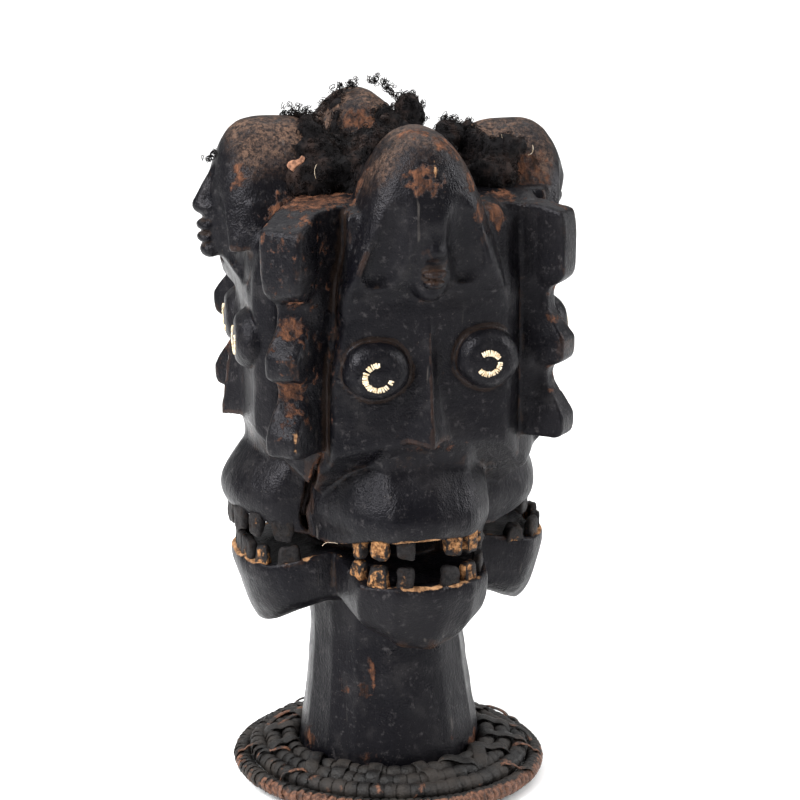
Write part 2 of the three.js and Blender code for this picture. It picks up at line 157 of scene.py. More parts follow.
def jittered_plan(plan, rng, amount):
    """The plan with its middle corners moved a little, so that no two jaws are alike."""
    moved = [
        (u + rng.uniform(-amount, amount) * 2, v + rng.uniform(-amount, amount)) for u, v in plan[2:-2]
    ]
    return plan[:2] + moved + plan[-2:]


# Field helpers

def smooth_rows(table, blur):
    """A height table as closely spaced rows whose corners are eased."""
    table = np.asarray(table, float)
    heights = np.arange(table[0, 0] - 12, table[-1, 0] + 12, 0.5)
    reach = np.arange(-10, 10.5, 0.5)
    weights = np.exp(-0.5 * (reach / blur) ** 2)
    weights /= weights.sum()
    columns = []
    for column in table.T[1:]:
        plain = np.interp(heights, table[:, 0], column)
        padded = np.pad(plain, len(reach) // 2, mode="edge")
        columns.append(np.convolve(padded, weights, mode="valid"))
    return np.column_stack([heights] + columns)


plan_rng = random.Random(SEED)
for face_row in FACES:
    corners = FRONT_CORNERS if face_row["name"] == "front" else OTHER_CORNERS
    face_row["ease"] = corners["ease"]
    face_row["upper_plan"] = jittered_plan(JAW_PLAN, plan_rng, corners["shift"])
    face_row["lower_plan"] = jittered_plan(CHIN_PLAN, plan_rng, corners["shift"])

FLANGE_PROFILE = smooth_rows(FLANGE_EDGE, 1.1)
UPPER_JAW_PROFILE = smooth_rows(UPPER_JAW_ROWS, 2.6)
LOWER_JAW_PROFILE = smooth_rows(LOWER_JAW_ROWS, 2.6)
NECK_PROFILE = smooth_rows(NECK_ROWS, 2.5)


def rows(table, heights, column):
    """One column of a height table, read at each height."""
    return np.interp(heights, table[:, 0], table[:, column])


def pairs(table, heights):
    """A table of height and value pairs, read at each height."""
    places, values = np.array(table, float).T
    return np.interp(heights, places, values)


def soft_min(a, b, k):
    """The smaller of two distances, with the corner between them eased over about k."""
    h = np.clip(0.5 + 0.5 * (b - a) / k, 0, 1)
    return b + (a - b) * h - k * h * (1 - h)


def soft_max(a, b, k):
    """The larger of two distances, with the corner between them eased over about k."""
    return -soft_min(-a, -b, k)


def step(value, low, high):
    """A smooth rise from 0 at low to 1 at high."""
    t = np.clip((value - low) / (high - low), 0, 1)
    return t * t * (3 - 2 * t)


def bump(value, centre, width):
    """A smooth hump, 1 at its centre."""
    return np.exp(-((value - centre) / width) ** 2)


def ball(u, v, z, centre, halves):
    """An ellipsoid's distance, near enough close to its surface."""
    scaled = [(p - c) / h for p, c, h in zip((u, v, z), centre, halves)]
    reach = np.sqrt(sum(s * s for s in scaled)) + 1e-9
    slope = np.sqrt(sum((s / h) ** 2 for s, h in zip(scaled, halves))) + 1e-9
    return reach * (reach - 1) / slope


def rod(u, v, z, start, end, radius_start, radius_end):
    """A round rod whose radius changes along its length."""
    axis = np.subtract(end, start).astype(float)
    rel = [p - s for p, s in zip((u, v, z), start)]
    t = np.clip(sum(r * a for r, a in zip(rel, axis)) / (axis @ axis), 0, 1)
    away = np.sqrt(sum((r - t * a) ** 2 for r, a in zip(rel, axis)))
    return away - (radius_start + (radius_end - radius_start) * t)


def lattice_noise(points, size, seed):
    """Smooth noise from -1 to 1 whose lumps are about as large as size."""
    count = 24
    lattice = np.random.default_rng(seed).uniform(-1, 1, (count, count, count))
    place = points / size
    cell = np.floor(place).astype(int)
    t = place - cell
    t = t * t * (3 - 2 * t)
    total = np.zeros(len(points))
    for corner in np.ndindex(2, 2, 2):
        weight = np.prod(np.where(corner, t, 1 - t), axis=1)
        i, j, k = ((cell + corner) % count).T
        total += weight * lattice[i, j, k]
    return total


def turned(x, y, quarters):
    """The u and v coordinates in the frame of the face that many quarter turns round."""
    angle = quarters * math.pi / 2
    u = x * math.cos(angle) + y * math.sin(angle)
    v = x * math.sin(angle) - y * math.cos(angle)
    return u, v


def slanted(u, v, face):
    """Coordinates on the face's own plane: v is 0 on it."""
    angle = math.radians(face["slant"])
    out = v - FACE_OUT
    return u * math.cos(angle) + out * math.sin(angle), out * math.cos(angle) - u * math.sin(angle)


# The parts of the carving as distance fields

def neck_field(x, y, z):
    """A flared neck pared in broad upright facets."""
    x = x + NECK_LEAN * step(z, 34, 120)
    around = np.arctan2(y, x) + 0.12 * np.sin(3 * np.arctan2(y, x) + 1)
    reach = np.hypot(x, y)
    facet = 2 * math.pi / NECK_FACETS
    part = (around + 0.2) % facet - facet / 2
    facets = 1 / np.cos(part) - 1.012
    side = reach - rows(NECK_PROFILE, z, 1) * (1 + 0.75 * facets * (1 - step(z, 110, 160)))
    return soft_max(side, soft_max(-z, z - NECK_TOP, 1), 2)


def face_plane(u, z, face):
    """How far out the bare face is at each place: gently round, and set back beside the small head."""
    spread = np.minimum(np.abs(u), 90)
    out = FACE_OUT - 5.5 * (spread / 60) ** 2.8 - 9 * step(u, 50, 66)
    out = out + u * math.tan(math.radians(face["slant"]))
    out = out + 1.5 * bump(z, 338, 14) * bump(u, 0, 40)
    out = out - 1.0 * bump(z, 282, 18) * (bump(u, -34, 15) + bump(u, 34, 15))
    return out - 3.5 * step(z, 350, 372) * step(spread, 34, 46)


def slab_field(u, v, z, face):
    """One face as a thick slab with its own side edges."""
    out = (v - face_plane(u, z, face)) * 0.985
    left = FACE_LEFT_EDGE - 9 * (1 - step(z, 290, 345))
    sides = soft_max(left - u, u - FACE_RIGHT_EDGE, 1)
    return soft_max(soft_max(out, sides, 4), 40 - v, 1)


# Hollows scooped along the block's top beside the left, front and back small heads: both ends and
# radius.
SHOULDERS = [
    ((-70, -48, 408), (-122, -56, 374), 12), ((60, -62, 411), (62, -108, 396), 11),
    ((62, 60, 411), (64, 108, 396), 10), ((-60, 62, 411), (-112, 60, 392), 10),
]


def block_field(x, y, z):
    """The four faces round a core, overhanging the jaws, with a valley beside each flange."""
    field = None
    reach = None
    for quarters, face in enumerate(FACES):
        u, v = turned(x, y, quarters)
        side = slab_field(u, v, z, face)
        field = side if field is None else np.minimum(field, side)
        reach = v if reach is None else np.maximum(reach, v)
    core = soft_max(reach - 82, np.maximum(np.abs(x + y), np.abs(x - y)) * math.sqrt(0.5) - 102, 8)
    field = soft_min(field, core, 3)
    for quarters in range(4):
        t, r = turned(x, y, quarters + 0.5)
        valley = ball(t, r, z * 0, (21, 110, 0), (8.5, 19, 1)) + 18 * (1 - step(z, 292, 352))
        field = soft_max(field, np.where(r > 40, -valley, -60), 3)
    for start, end, radius in SHOULDERS:
        field = soft_max(field, -rod(x, y, z, start, end, radius, radius * 1.3), 5)
    under = (240 + (reach - 84) * 1.05 - z) * 0.69
    over = z - BLOCK_TOP - (95 - reach) * 0.08
    return soft_max(soft_max(field, under, 2.5), over, 5)


def flange_field(x, y, z, quarters, shape):
    """A corner flange: a thin upright slab whose outer edge is cut into lobes."""
    t, r = turned(x, y, quarters + 0.5)
    edge = rows(FLANGE_PROFILE, z, 1) * (1 + shape["lean"] * np.clip(t / 8, -1.3, 1.3))
    slope = (rows(FLANGE_PROFILE, z + 1, 1) - rows(FLANGE_PROFILE, z - 1, 1)) / 2
    rim = (r - shape["reach"] + edge) / np.sqrt(1 + slope ** 2)
    half = shape["half"] + shape["top_swell"] * step(z, 335, 385) + np.maximum(0, 112 - r) * 0.22
    half = half + (0.9 - 0.24 * rows(FLANGE_PROFILE, z, 1)) * step(r, 102, 116)
    slab = (np.abs(t - shape["middle"]) - half) * 0.97
    top = z - shape["top"] + shape["fall"] * step(r, 108, shape["reach"])
    ends = soft_max(top, FLANGE_FOOT - z, 1)
    return soft_max(soft_max(slab, rim, shape["round"]), soft_max(ends, 60 - r, 1), 3)


def dome_field(u, v, z, face):
    """A small head's dome: a pointed arch across, long from front to back."""
    rise = np.clip((z - HEAD_FOOT) / (face["head_top"] - HEAD_FOOT), 0, 2)
    along = v - HEAD_CENTRE_OUT
    depth = np.where(along > 0, HEAD_FRONT_DEPTH, HEAD_BACK_DEPTH)
    power = np.where(along > 0, 3.8, 3.2)
    share = np.abs(along) / depth
    half = 46.5 + (6 * (1 - step(z, 350, 398)) if face["jawed"] < 0.5 else 0)
    across = np.abs(u - face["lean"]) / half
    level = across ** 2.1 + share ** power + rise ** 2 - 1
    grade = np.sqrt(
        (2.1 * across ** 1.1 / half) ** 2
        + (power * share ** (power - 1) / depth) ** 2
        + (2 * rise / (face["head_top"] - HEAD_FOOT)) ** 2
    )
    return level / np.maximum(grade, 0.02)


def head_field(u, v, z, face):
    """A small head with a ridge round its hollow cheeks."""
    front = pairs(HEAD_FRONT_ROWS, z) + face["brow_out"]
    field = soft_max(dome_field(u, v, z, face), (v - front) * 0.93, 4)
    forward = face["brow_out"] * 0.8
    for side, high, low in ((-1, -24, -33), (1, 19, 21)):
        cheek = rod(u, v, z, (high, 127 + forward, 412), (low, 114 + forward, 362), 15, 15)
        cheek = soft_max(cheek, 356 - z, 2)
        field = soft_max(field, -cheek, 2.2)
        deep = face["jawed"]
        if deep > 0:
            throat = rod(u, v, z, (side * 22, 122, 353), (side * 52, 74, 366), 12 * deep, 10 * deep)
            field = soft_max(field, -throat, 2.5)
    return soft_max(field, 325 - z, 4)


def head_features(u, v, z, face):
    """Plain features: a wedge of a nose, two lips and a chin on a low mound."""
    out, height, lips, size = face["nose_out"], face["nose_height"], face["lip_height"], face["lip_size"]
    nose = rod(u, v, z, (0, out - 14, height + 19), (0, out - 5.8, height - 1), 2.4, 5.6 * size)
    wings = ball(np.abs(u), v, z, (5 * size, out - 8.5, height - 3), (3.8 * size, 4.6, 3.4))
    field = soft_min(nose, wings, 3)
    mound = ball(u, v, z, (0, out - 20, lips + 3), (13, 11.5, 19))
    field = soft_min(field, mound, 8)
    upper = ball(u, v, z, (0, out - 8.5, lips + 3.9 * size), (9.5 * size, 5.8, 3.6 * size))
    lower = ball(u, v, z, (0, out - 8.6, lips - 4.1 * size), (8.5 * size, 5.8, 3.8 * size))
    chin = ball(u, v, z, (0, out - 11 - 6 * (1 - size) * 4, lips - 12 * size), (8, 6.5, 5.5))
    lips_field = np.minimum(upper, lower)
    return soft_min(soft_min(field, chin, 4), lips_field, 1.4)


def eye_place(face, side):
    """Where an eye's middle is, across and up, on its face's plane."""
    which = 0 if side < 0 else 1
    return side * EYE_SPACING + face["eye_shift"][which], EYE_HEIGHT - face["eye_drop"][which]


def ring_place(face, side):
    """Where the middle of an eye's inlaid ring is: a little below and beyond the eye's middle."""
    across, height = eye_place(face, side)
    return across - 1.6 - 0.4 * side, height - 1.6 + 0.4 * side


def eye_reach(u, z, face, side):
    """How far a place is from an eye's middle, as seen from the front."""
    across, height = eye_place(face, side)
    angle = np.arctan2(z - height, u - across)
    uneven = 1 + 0.02 * np.sin(2 * angle + side) + 0.015 * np.sin(5 * angle)
    return np.hypot(u - across, (z - height) / EYE_TALLNESS) * uneven


def eye_field(u, v, z, face, side):
    """A bulging eye, steepest on the side towards the nose."""
    u, out = slanted(u, v, face)
    across, height = eye_place(face, side)
    reach = eye_reach(u, z, face, side)
    share = reach / EYE_RADIUS
    tall = EYE_RISE + 1.0 - 0.045 * (u - across) * side - 0.02 * (z - height)
    lift = np.maximum(out - face["eye_out"], 0) / tall
    level = share ** 2.2 + lift ** 1.8 - 1
    rise = 1.8 * np.maximum(lift, 0.02) ** 0.8 / tall
    grade = np.sqrt((2.2 * share ** 1.2 / EYE_RADIUS) ** 2 + rise ** 2)
    mound = level / np.maximum(grade, 0.03)
    ring_u, ring_z = ring_place(face, side)
    ring = np.hypot(u - ring_u, z - ring_z)
    flat = out - face["eye_out"] - EYE_RISE + 0.9 + 0.9 * bump(ring, 9, 3.6)
    return soft_max(soft_max(mound, flat, 3), -12 - out, 2)


def eye_groove(u, v, z, face, side):
    """How near a place is to the groove cut round an eye."""
    u, out = slanted(u, v, face)
    return bump(eye_reach(u, z, face, side), EYE_RADIUS + 1.2, 2.0) * step(out, -6, -2)


def nose_field(u, v, z, face):
    """A long three-sided nose with a sharp crest, cut off flat underneath."""
    u, out = slanted(u, v, face)
    stand = pairs(NOSE_CREST_ROWS, z) * face["nose_ridge"]
    left = pairs(NOSE_WIDTH_ROWS, z)
    width = np.where(u < 0, left, left * NOSE_RIGHT_SHARE)
    share = np.clip(np.abs(u) / width, 0, 1.4)
    crest = stand * np.clip(1 - share, 0, 1) ** 1.1
    ridge = (out - crest) * 0.86
    ridge = soft_max(ridge, (np.abs(u) - width), 1.5)
    under = (256 - z - 0.2 * out) * 0.97
    return soft_max(soft_max(ridge, under, 1.2), soft_max(z - 350, -8 - out, 1), 2)


def plan_field(u, v, plan, front, inset, share, ease):
    """The side wall of a jaw whose plan is drawn in from its front and narrowed to a share."""
    stretch = (front - JAW_CENTRE_OUT) / (JAW_FRONT - JAW_CENTRE_OUT)
    v = np.where(v > JAW_CENTRE_OUT, JAW_CENTRE_OUT + (v - JAW_CENTRE_OUT) / stretch, v)
    u = u / share
    field = None
    for (u0, v0), (u1, v1) in zip(plan, plan[1:]):
        length = math.hypot(u1 - u0, v1 - v0)
        across, out = (v0 - v1) / length, (u1 - u0) / length
        wall = (u - u0) * across + (v - v0) * out - inset * out
        field = wall if field is None else soft_max(field, wall, ease)
    return field * np.minimum(share, 1)


def upper_jaw_field(u, v, z, face):
    """A bulging upper jaw, whose lip drops inwards to a hollowed roof."""
    inset, share = rows(UPPER_JAW_PROFILE, z, 2), rows(UPPER_JAW_PROFILE, z, 1)
    side = plan_field(u, v, face["upper_plan"], face["upper_out"], inset, share, face["ease"])
    side = side * pairs(UPPER_JAW_SLOPES, z)
    lip = UPPER_LIP_HEIGHT - LIP_DROP * (face["upper_out"] - np.maximum(v, JAW_CENTRE_OUT))
    roof = 4 * step(face["upper_out"] - 9 - v, 0, 7) * bump(u, 0, 40)
    field = soft_max(side, (lip + roof - z) * 0.96, 1.8)
    return soft_max(field, soft_max(z - 256, 20 - v, 1), 2)


def lower_jaw_field(u, v, z, face):
    """A wedge of a lower jaw, whose underside rises to the neck."""
    inward = np.maximum(0, face["lower_out"] - 12 - np.maximum(v, JAW_CENTRE_OUT - 8))
    level = z
    for _ in range(2):
        under = CHIN_SLOPE * inward * (1 - step(level, 110, 150))
        level = z - under - (LIP_RISE * inward + face["lower_lift"]) * step(level, 130, 161)
    inset, share = rows(LOWER_JAW_PROFILE, level, 2), rows(LOWER_JAW_PROFILE, level, 1)
    side = plan_field(u, v, face["lower_plan"], face["lower_out"], inset, share, face["ease"] * 0.6)
    side = side * pairs(LOWER_JAW_SLOPES, level)
    floor = 4 * step(face["lower_out"] - 11 - v, 0, 7) * bump(u, 0, 38)
    field = soft_max(side, level - LOWER_LIP_HEIGHT + floor, 1.8)
    return soft_max(field, soft_max(CHIN_HEIGHT - level, 20 - v, 1), 3)


# The crack between the left and front upper jaws: heights, each with how far right of the axis the
# crack is there as the camera sees it.
CRACK = [(180, -50), (187, -51.5), (197, -54.5), (207, -52), (222, -47.8), (238, -44), (246, -41)]
CRACK_DEPTH = 9


def crack_reach(points):
    """How far a place is from the crack's ragged sides, below zero inside it."""
    x, y, z = points.T
    azimuth = math.radians(CAMERA_AZIMUTH)
    right = x * math.cos(azimuth) + y * math.sin(azimuth)
    gape = 2.1 * step(z, 178, 192) * (1 - step(z, 232, 248)) + 0.6 * lattice_noise(points, 7, 41)
    side = np.abs(right - pairs(CRACK, z) - lattice_noise(points, 9, 42)) - gape
    inside = (x < -35) & (y < -25) & (y > -90) & (z > 178) & (z < 248)
    return np.where(inside, side, 20)


def carving_field(points):
    """The whole carving's distance, for an array of points in millimetres."""
    x, y, z = points.T
    field = block_field(x, y, z)
    for quarters, shape in enumerate(FLANGES):
        t, r = turned(x, y, quarters + 0.5)
        near = (r > 55) & (np.abs(t) < 45) & (z > 240)
        part = flange_field(x[near], y[near], z[near], quarters, shape)
        field[near] = soft_min(field[near], part, 2.5)
    for quarters, face in enumerate(FACES):
        u, v = turned(x, y, quarters)
        near = (v > 10) & (np.abs(u) < 62) & (z > 315)
        fu, fv, fz = u[near], v[near], z[near]
        part = soft_min(head_field(fu, fv, fz, face), head_features(fu, fv, fz, face), 4.5)
        field[near] = soft_min(field[near], part, 3)
        near = (v > 80) & (np.abs(u) < 75) & (z > 245) & (z < 360)
        fu, fv, fz = u[near], v[near], z[near]
        part = nose_field(fu, fv, fz, face)
        part = soft_min(field[near], part, 3)
        for side in (-1, 1):
            part = part + 0.9 * eye_groove(fu, fv, fz, face, side)
            part = soft_min(part, eye_field(fu, fv, fz, face, side), 1.2)
        field[near] = part
    field = soft_min(field, neck_field(x, y, z), 5)
    for quarters, face in enumerate(FACES):
        u, v = turned(x, y, quarters)
        near = (v > 10) & (np.abs(u) < 62) & (z > 95) & (z < 265)
        fu, fv, fz = u[near], v[near], z[near]
        field[near] = soft_min(field[near], lower_jaw_field(fu, fv, fz, face), 1.6)
        blend = 1.6 + 16 * step(fz, 214, 240) * (1 - step(np.abs(fu - 2), 24, 38))
        field[near] = soft_min(field[near], upper_jaw_field(fu, fv, fz, face), blend)
    cut = soft_max(crack_reach(points), -CRACK_DEPTH - field, 1)
    return soft_max(field, -cut, 0.8)


# Turning the field into a mesh

CARVING_CELL = 1.6
HAIR_CELL = 2.8
COARSE = 3
FIELD_LOW = np.array([-138.0, -138.0, -5.0])
FIELD_HIGH = np.array([138.0, 138.0, 456.0])


def grid_points(index, spacing):
    """The places of grid points, from their whole-number positions."""
    return FIELD_LOW + index * spacing


def sampled_field(function, cell):
    """The field on a fine grid: worked out coarsely everywhere, and finely only near the surface."""
    coarse_step = cell * COARSE
    shape = np.ceil((FIELD_HIGH - FIELD_LOW) / coarse_step).astype(int) + 1
    index = np.stack(np.meshgrid(*[np.arange(n) for n in shape], indexing="ij"), -1).reshape(-1, 3)
    coarse = function(grid_points(index, coarse_step)).reshape(shape)
    fine = coarse.repeat(COARSE, 0).repeat(COARSE, 1).repeat(COARSE, 2)
    near = np.argwhere(np.abs(fine) < coarse_step * 2.2)
    centre = (COARSE - 1) / 2
    fine[tuple(near.T)] = function(grid_points(near - centre, cell))
    return fine, FIELD_LOW - centre * cell


def surface_net(values, origin, size):
    """Vertices and quads of the field's zero surface, one vertex in each cell that it crosses."""
    inside = values < 0
    shape = np.array(values.shape) - 1
    corners = [(i, j, k) for i in (0, 1) for j in (0, 1) for k in (0, 1)]
    count = sum(
        inside[i:i + shape[0], j:j + shape[1], k:k + shape[2]].astype(np.int8) for i, j, k in corners
    )
    cells = np.argwhere((count > 0) & (count < 8))
    number = np.full(shape, -1, int)
    number[tuple(cells.T)] = np.arange(len(cells))
    total = np.zeros((len(cells), 3))
    crossings = np.zeros(len(cells))
    for a in corners:
        for axis in range(3):
            if a[axis]:
                continue
            b = list(a)
            b[axis] = 1
            va = values[tuple((cells + a).T)]
            vb = values[tuple((cells + b).T)]
            hit = (va < 0) != (vb < 0)
            t = np.where(hit, va / np.where(hit, va - vb, 1), 0)
            place = np.array(a, float)[None] + t[:, None] * np.eye(3)[axis]
            total += np.where(hit[:, None], place, 0)
            crossings += hit
    vertices = origin + (cells + total / crossings[:, None]) * size
    quads = []
    for axis in range(3):
        b, c = (axis + 1) % 3, (axis + 2) % 3
        low = [slice(1, -1)] * 3
        high = [slice(1, -1)] * 3
        low[axis], high[axis] = slice(0, -1), slice(1, None)
        first, second = inside[tuple(low)], inside[tuple(high)]
        for start, flip in ((first & ~second, False), (~first & second, True)):
            edge = np.argwhere(start) + 1
            edge[:, axis] -= 1
            ring = []
            for db, dc in ((0, 0), (-1, 0), (-1, -1), (0, -1)):
                cell = edge.copy()
                cell[:, b] += db
                cell[:, c] += dc
                ring.append(number[tuple(cell.T)])
            quad = np.stack(ring, 1)
            quads.append(quad[:, ::-1] if flip else quad)
    return vertices, np.concatenate(quads)


PROBE = 0.4


def field_slope(function, points):
    """The field's value and gradient at each point."""
    value = function(points)
    slope = np.empty_like(points)
    for axis in range(3):
        moved = points.copy()
        moved[:, axis] += PROBE
        slope[:, axis] = (function(moved) - value) / PROBE
    return value, slope


def settle(function, points, rounds=2):
    """Moves points onto the field's zero surface."""
    for _ in range(rounds):
        value, slope = field_slope(function, points)
        squared = np.maximum((slope ** 2).sum(1), 0.2)
        points = points - slope * np.clip(value / squared, -1.5, 1.5)[:, None]
    return points


def mesh_object(name, vertices, faces, smooth=True):
    """A mesh object at the origin from vertices in metres."""
    mesh = bpy.data.meshes.new(name)
    mesh.from_pydata(np.asarray(vertices).tolist(), [], [list(f) for f in faces])
    mesh.update()
    if smooth:
        mesh.shade_smooth()
    thing = bpy.data.objects.new(name, mesh)
    bpy.context.scene.collection.objects.link(thing)
    return thing


def read_points(mesh):
    """A mesh's vertices in millimetres."""
    flat = np.empty(len(mesh.vertices) * 3)
    mesh.vertices.foreach_get("co", flat)
    return flat.reshape(-1, 3) / MM


def write_points(mesh, points):
    """Sets a mesh's vertices from millimetres, none of them below the floor."""
    points[:, 2] = np.maximum(points[:, 2], 0)
    mesh.vertices.foreach_set("co", (points * MM).ravel())
    mesh.update()


def add_mask(mesh, name, values):
    """A mask on the mesh's points that a material reads."""
    mask = mesh.attributes.new(name, "FLOAT", "POINT")
    mask.data.foreach_set("value", np.clip(values, 0, 1).astype(np.float32))


def settled_mesh(thing):
    """Bakes an object's modifiers into a plain mesh and drops them."""
    graph = bpy.context.evaluated_depsgraph_get()
    baked = bpy.data.meshes.new_from_object(thing.evaluated_get(graph))
    thing.modifiers.clear()
    old = thing.data
    thing.data = baked
    if old.users == 0:
        bpy.data.meshes.remove(old)
    return baked


# The carving and where it is worn

CARVING_TRIANGLES = 190000


def make_carving():
    """The carving's mesh, with its dents and its masks of wear."""
    values, origin = sampled_field(carving_field, CARVING_CELL)
    vertices, quads = surface_net(values, origin, CARVING_CELL)
    vertices = settle(carving_field, vertices)
    carving = mesh_object("carving", vertices * MM, quads)
    triangles = 2 * len(quads)
    if triangles > CARVING_TRIANGLES:
        thin = carving.modifiers.new("thin out", "DECIMATE")
        thin.ratio = CARVING_TRIANGLES / triangles
    mesh = settled_mesh(carving)
    mesh.shade_smooth()
    points = read_points(mesh)
    _, slope = field_slope(carving_field, points)
    normals = slope / np.linalg.norm(slope, axis=1)[:, None]
    masks = wear_masks(points, normals)
    lumps = 0.35 * lattice_noise(points, 13, 1) + 0.16 * lattice_noise(points, 5, 2)
    rough = 0.5 * masks["wood"] * lattice_noise(points * [1, 1, 0.25], 2.2, 3)
    write_points(mesh, points + normals * (lumps + rough)[:, None])
    for name, mask in masks.items():
        add_mask(mesh, name, mask)
    return carving


def near_spot(points, place, size):
    """How near points are to a spot, from 1 at its middle."""
    offset = (points - np.asarray(place, float)) / np.asarray(size, float)
    return np.exp(-(offset ** 2).sum(1))


# Reddish and tan places where the skin is thin: middle, halves and how strong each is.
TAN_SPOTS = [
    # The brow, the crown and the outline of the front small head.
    ((-7, -108, 422), (14, 15, 10), 0.95), ((-5, -86, 446), (10, 11, 5), 1.15),
    ((8, -93, 442), (9, 10, 5), 1.15), ((15, -93, 437), (7, 10, 6), 1.15),
    ((23, -100, 416), (6, 9, 10), 1.05), ((29, -100, 400), (6, 10, 10), 1.15),
    ((14, -80, 440), (6, 12, 5), 1), ((22, -78, 430), (5, 12, 7), 1.05),
    ((28, -72, 419), (4, 10, 8), 0.95), ((33, -73, 407), (5, 10, 8), 1),
    ((39, -76, 398), (6, 12, 8), 1), ((-30, -72, 421), (4, 8, 7), 0.95),
    ((-35, -71, 411), (3.5, 8, 7), 1), ((-41, -72, 400), (4, 9, 8), 1),
    # The recess behind the near-left flange, and the one right of the front small head.
    ((-52, -48, 401), (20, 22, 8), 1.3), ((-71, -69, 402), (17, 12, 9), 1.5),
    ((-58, -71, 402), (10, 10, 8), 1.3), ((-68, -50, 403), (12, 12, 9), 1.3),
    ((-78, -64, 397), (9, 9, 6), 0.9), ((-78, -50, 396), (18, 14, 13), 1.25),
    ((-98, -54, 386), (10, 10, 9), 0.8), ((44, -88, 396), (10, 9, 8), 1.25),
    ((56, -62, 400), (10, 10, 8), 1.1),
    # Notches of the near-left flange.
    ((-86, -91, 332), (12, 12, 7), 1.15), ((-84, -88, 291), (9, 9, 6), 1.0),
    # The right, left and back small heads.
    ((86, -31, 408), (12, 10, 15), 1.25), ((-104, -30, 412), (5, 8, 8), 0.8),
    ((-102, -22, 418), (5, 8, 5), 1.1), ((-6, 45, 431), (11, 12, 14), 1.0),
]

# Small spots low on the front and left of the neck where the skin is rubbed through.
NECK_SPOTS = [
    ((-24, -46, 88), (2.4, 8, 4)), ((-28, -46, 72), (6, 8, 3)), ((-38, -37, 71), (5, 8, 2.4)),
    ((-56, -12, 31), (6, 10, 6)), ((-27, -52, 28), (7, 8, 4)), ((30, -50, 36), (2, 8, 4)),
]

# An ochre scratch on the front small head's brow: middle and halves.
BROW_SCRATCH = ((1, -109, 426), (0.9, 8, 9))


def fuzzy_scalp(v, z, face, dome, broad, fine):
    """The brown crown of a small head, ragged along its lower line."""
    line = 419 + 0.09 * (v - 80) - face["scalp_drop"] * (1 - step(v, 90, 108))
    top = step(z + 7 * broad + 3 * fine, line - 14, line + 9)
    top = top * face["scalp"] * (1 - step(v + 5 * broad, 97, 110))
    return top * step(3 - dome, 0, 2)


def mouth_ochre(u, v, z, face, downward, broad, fine):
    """Ochre ground along a lower jaw's gum and under the upper jaw's lip."""
    floor = LOWER_LIP_HEIGHT + LIP_RISE * np.maximum(0, face["lower_out"] - 12 - v) + face["lower_lift"]
    depth = -plan_field(u, v, face["lower_plan"], face["lower_out"], -1.5, 0.975, 3)
    gum = bump(z, floor, 2.4) * step(depth, -1.5, 0.5) * (1 - step(depth, 4.5, 7.5))
    gum = gum * (0.42 + 0.5 * broad + 0.9 * fine + 0.6 * bump(u, -8, 17))
    roof = UPPER_LIP_HEIGHT - LIP_DROP * (face["upper_out"] - np.maximum(v, JAW_CENTRE_OUT))
    depth = -plan_field(u, v, face["upper_plan"], face["upper_out"], -3, 0.975, 3)
    lip = bump(z, roof, 3) * (1 - step(depth, 4.5, 8)) * step(downward, 0.3, 0.8)
    lip = lip * (0.5 + 0.7 * broad + 0.4 * fine)
    return np.maximum(gum, lip)


def flange_wear(r, z, shape, broad, fine):
    """Bare wood in a flange's notches and along its rim, and where that rim is."""
    cut = rows(FLANGE_PROFILE, z, 1)
    rim = step(r, shape["reach"] - cut - 5, shape["reach"] - cut - 1)
    notch = step(cut, 3, 10) * step(r, shape["reach"] - 19, shape["reach"] - 13)
    return notch * (0.42 + 0.55 * broad + 0.25 * fine) + 0.1 * rim, rim


